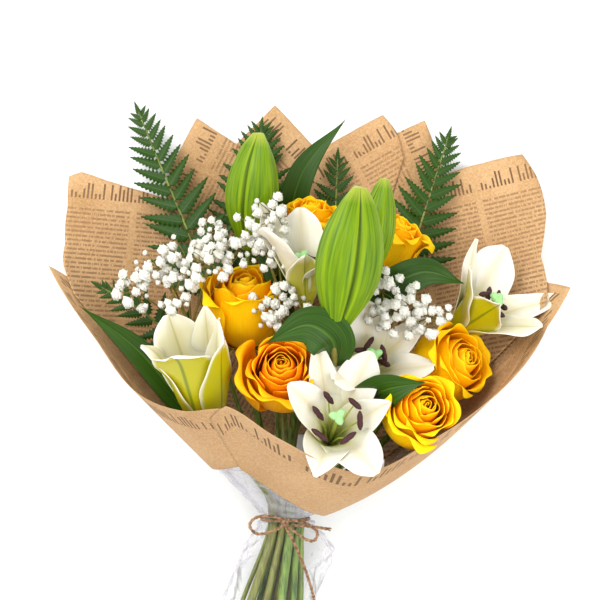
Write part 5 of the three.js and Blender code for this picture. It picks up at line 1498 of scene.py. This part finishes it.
stroke = node(tree, "ShaderNodeMath", {0: mark_place.outputs[0]}, operation="LESS_THAN", in_1=STROKE_INKED)
title = node(tree, "ShaderNodeMath", {0: under.outputs[0], 1: over.outputs[0]}, operation="MULTIPLY")
title = node(tree, "ShaderNodeMath", {0: title.outputs[0], 1: stroke.outputs[0]}, operation="MULTIPLY")
ink = node(tree, "ShaderNodeMath", {0: title.outputs[0], 1: text.outputs[0]}, operation="MAXIMUM")
worn = node(
    tree, "ShaderNodeMapRange", {"Value": clouds.outputs["Fac"]}, in_1=0.3, in_2=0.7, in_3=0.6, in_4=0.95,
)
ink = node(tree, "ShaderNodeMath", {0: ink.outputs[0], 1: worn.outputs["Result"]}, operation="MULTIPLY")
outer_value = node(tree, "ShaderNodeMapRange", {"Value": side_shown.outputs["Fac"]}, in_3=1.0, in_4=0.84)
tan_by_side = {"Color": tan.outputs["Color"], "Value": outer_value.outputs["Result"]}
sheet_tan = node(tree, "ShaderNodeHueSaturation", tan_by_side)
ink_mix = {0: ink.outputs[0], 6: sheet_tan.outputs["Color"]}
printed = node(tree, "ShaderNodeMix", ink_mix, data_type="RGBA", in_7=linear("553823"))
tree.links.new(printed.outputs[2], shade.inputs["Base Color"])
creases = node(
    tree, "ShaderNodeTexVoronoi", {"Vector": spot.outputs["Object"]},
    feature="DISTANCE_TO_EDGE", in_Scale=22.0,
)
fold = node(tree, "ShaderNodeMapRange", {"Value": creases.outputs["Distance"]}, in_1=0.0, in_2=0.12)
folds_and_clouds = {2: fold.outputs["Result"], 3: clouds.outputs["Fac"]}
relief = node(tree, "ShaderNodeMix", folds_and_clouds, data_type="FLOAT", in_0=0.8)
bump = node(tree, "ShaderNodeBump", {"Height": relief.outputs[0]}, in_Strength=0.5, in_Distance=3.0 * MM)
fibre_height = {"Height": fibres.outputs["Fac"], "Normal": bump.outputs["Normal"]}
tooth = node(tree, "ShaderNodeBump", fibre_height, in_Strength=0.2, in_Distance=0.2 * MM)
tree.links.new(tooth.outputs["Normal"], shade.inputs["Normal"])


def paper_sheet(name, layer, top, foot_at, curl, print_from=None, slope=0):
    """A sheet on one layer of the wrap, under its top edge, with print coordinates in mm."""
    # the columns always run one way round the wrap, so that the outer face looks out
    if top[0][0] > top[-1][0]:
        top = top[::-1]
    spans = len(top) - 1
    columns, rows = spans * SHEET_SPAN, SHEET_ROWS
    share = np.linspace(0, spans, columns + 1)
    top_t = np.interp(share, np.arange(spans + 1), [place[0] for place in top])
    top_v = np.interp(share, np.arange(spans + 1), [place[1] for place in top])
    t = np.repeat(top_t, rows + 1)
    j = np.tile(np.linspace(0, 1, rows + 1), columns + 1)
    foot_v = np.array([foot_at(one) for one in top_t])
    v = np.repeat(foot_v, rows + 1) * (1 - j) + np.repeat(top_v, rows + 1) * j
    inside, outward = wrap_inside(t, v), wrap_outward(t, v)
    near_top = np.clip((j - 0.72) / 0.28, 0, 1) ** 2
    wave = np.sin(37 * t + 2 * layer) * 0.5 + 0.5 * np.sin(83 * t + 5 * j)
    lift = layer * LAYER + PAPER / 2 + 0.1 * np.sin(60 * t + 9 * v) - curl * near_top * (0.75 + 0.6 * wave)
    middle = inside + outward * lift[:, None]
    points, faces, side = shell(middle, outward, SHEET, columns, rows)
    if print_from is None:
        foot, rim = ruling(t)
        reach = np.linalg.norm(rim - foot, axis=1)
        uv = np.stack([t * PRINT_ROUND, (np.repeat(top_v, rows + 1) - v) * reach], axis=1)
    else:
        c, s = math.cos(math.radians(slope)), math.sin(math.radians(slope))
        off = inside[:, :2] - np.array(print_from)
        uv = np.stack([off @ [c, s] + PRINT_SHIFT, -(off @ [-s, c])], axis=1)
    made = mesh_piece(name, points, faces, np.vstack([uv, uv]), {"side": side})
    made.data.materials.append(kraft)
    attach(made, "root")
    return made


for number, (edge, slope) in enumerate(BACK_SHEETS):
    top = [on_back(x, y) for x, y in edge]
    if number == 0:
        top = LEFT_SIDE + top
    if number == len(BACK_SHEETS) - 1:
        top = top + RIGHT_SIDE
    layer = 1 if number % 2 == 0 else 0
    c, s = math.cos(math.radians(slope)), math.sin(math.radians(slope))
    highest = max(edge, key=lambda place: -place[0] * s + place[1] * c)
    curl = 3.0 if layer == 0 else 0.0
    sheet = paper_sheet(f"kraft_back_{number + 1}", layer, top, lambda t: BACK_FOOT, curl, highest, slope)
    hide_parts(f"paper_back_{number + 1}")


def height_at(rows, t):
    """How far up the wrap rows of [place, height] are at one place round it."""
    return float(np.interp(t, [row[0] for row in rows], [row[1] for row in rows]))


def between(rows, steps):
    """The same rows at even places round the wrap."""
    return [[t, height_at(rows, t)] for t in np.linspace(rows[0][0], rows[-1][0], steps + 1)]


left = paper_sheet("kraft_left", 2, between(LEFT_TOP, 12), lambda t: height_at(LEFT_FOOT, t), 0.0)
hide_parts("paper_left")
front = paper_sheet("kraft_front", 3, between(FRONT_TOP, 16), lambda t: height_at(FRONT_FOOT, t), 0.0)
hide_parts("paper_front")

# ---------------------------------------------------------------- clear film
# Under the paper a sleeve of crisp clear cellophane holds the bunch. The twine draws it in, and
# its crumpled skirt flares over the stems below. It is almost invisible but for its glints.
# Each row of the skirt: its place along the bunch, its middle across and up, and its half sizes.
SKIRT = np.array([
    [-252, -26, 34, 37, 33], [-238, -23, 33, 38, 31], [-220, -17, 32, 38, 29],
    [-203, -9, 31, 37, 26], [-190, -9, 30.5, 30, 22.5], [-185, -11, 30, 24, 20],
])
COLLAR = 2.6                       # half the height of the band under the twine
FILM_TOP, FILM_LIFT = 0.46, 0.6    # how far up the wrap it goes, and its height over the floor
FILM = 0.12                        # thickness drawn, about four times the real one
FILM_COLUMNS = 180
BAND = 0.02                        # the band under the twine reaches this far each way on the grid


def film_grid(outward):
    """The film's points on a closed grid: round it by columns, and up it by rows."""
    w = np.concatenate([np.linspace(-1, -0.03, 52), np.linspace(-BAND, BAND, 3), np.linspace(0.04, 1, 40)])
    t, w = np.meshgrid(np.arange(FILM_COLUMNS) / FILM_COLUMNS, w, indexing="ij")
    angle = -np.pi / 2 - 2 * np.pi * t
    waist = NECK + outward - LAYER
    y = TIE[1] + (SKIRT[0][0] - TIE[1]) * np.maximum(0, -w)
    loose = np.minimum(1, -4 * np.minimum(w, 0))
    broad = 0.05 * np.sin(5 * angle + 9 * w)
    bent = 0.022 * np.sin(11 * angle - 13 * w + 2 * np.sin(9 * w))
    fine = 0.014 * np.sin(23 * angle + 26 * w) * np.sin(17 * w + angle)
    crumple = 1 + loose * (broad + bent + fine)
    heights = SKIRT[:, 0]
    wide = (np.interp(y, heights, SKIRT[:, 3]) + outward - LAYER) * crumple
    high = (np.interp(y, heights, SKIRT[:, 4]) + outward - LAYER) * crumple
    skirt = np.stack([
        np.interp(y, heights, SKIRT[:, 1]) + wide * np.cos(angle), y,
        np.interp(y, heights, SKIRT[:, 2]) + high * np.sin(angle),
    ], axis=-1)
    skirt[..., 2] = np.maximum(skirt[..., 2], FILM_LIFT + PAPER - outward)
    up = np.maximum(w, 0)
    rustled = 0.25 * np.minimum(1, 6 * up) * np.sin(17 * angle + 30 * up) * np.sin(9 * angle)
    off = outward - LAYER - 0.4 * up + rustled
    upper = wrap_inside(t, up * FILM_TOP) + wrap_outward(t, up * FILM_TOP + 0.005) * off[..., None]
    round_tie = [TIE[0] + waist * np.cos(angle), TIE[1] + COLLAR * w / BAND, TIE[2] + waist * np.sin(angle)]
    grid = np.where((w > BAND)[..., None], upper, skirt)
    return np.where((np.abs(w) <= BAND)[..., None], np.stack(round_tie, axis=-1), grid)


# Clear film: see-through where it faces the eye. Where it is seen edge on, and on its crumples, it is whiter:
# its pale colour shows there as a painted reflection.
cellophane, tree, shade = skin(
    "clear_cellophane", Base_Color=linear("d3cfda"), Roughness=0.12, Specular_IOR_Level=0.9,
)
spot = node(tree, "ShaderNodeTexCoord")
rustle = node(
    tree, "ShaderNodeTexVoronoi", {"Vector": spot.outputs["Object"]}, feature="SMOOTH_F1", in_Scale=75.0,
)
wrinkle = node(tree, "ShaderNodeTexNoise", {"Vector": spot.outputs["Object"]}, in_Scale=60.0, in_Detail=3.0)
rustle_and_wrinkle = {0: rustle.outputs["Distance"], 1: wrinkle.outputs["Fac"]}
both = node(tree, "ShaderNodeMath", rustle_and_wrinkle, operation="ADD")
bump = node(tree, "ShaderNodeBump", {"Height": both.outputs[0]}, in_Strength=0.8, in_Distance=2.0 * MM)
tree.links.new(bump.outputs["Normal"], shade.inputs["Normal"])
edge_on = node(tree, "ShaderNodeLayerWeight", {"Normal": bump.outputs["Normal"]}, in_Blend=0.42)
# painted reflection: the film's pale base colour turns opaque where it is seen edge on
edge_on_painted_reflection = node(
    tree, "ShaderNodeMapRange", {"Value": edge_on.outputs["Facing"]},
    in_1=0.28, in_2=0.92, in_3=0.015, in_4=0.75,
)
tree.links.new(edge_on_painted_reflection.outputs["Result"], shade.inputs["Alpha"])

outer_grid = film_grid(PAPER / 2 + FILM / 2)
inner_grid = film_grid(PAPER / 2 - FILM / 2)
columns, rows = outer_grid.shape[0], outer_grid.shape[1] - 1
count = columns * (rows + 1)
film_faces = []
for i in range(columns):
    nxt = (i + 1) % columns
    for j in range(rows):
        a, b = i * (rows + 1) + j, nxt * (rows + 1) + j
        film_faces.append([a, b, b + 1, a + 1])
        film_faces.append([count + a, count + a + 1, count + b + 1, count + b])
    film_faces.append([i * (rows + 1), count + i * (rows + 1), count + nxt * (rows + 1), nxt * (rows + 1)])
    a, b = i * (rows + 1) + rows, nxt * (rows + 1) + rows
    film_faces.append([a, b, count + b, count + a])
film_points = np.vstack([outer_grid.reshape(-1, 3), inner_grid.reshape(-1, 3)])
sleeve = mesh_piece("film_crumpled", film_points, film_faces, np.zeros((len(film_points), 2)))
sleeve.data.materials.append(cellophane)
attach(sleeve, "root")
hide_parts("film_sleeve")
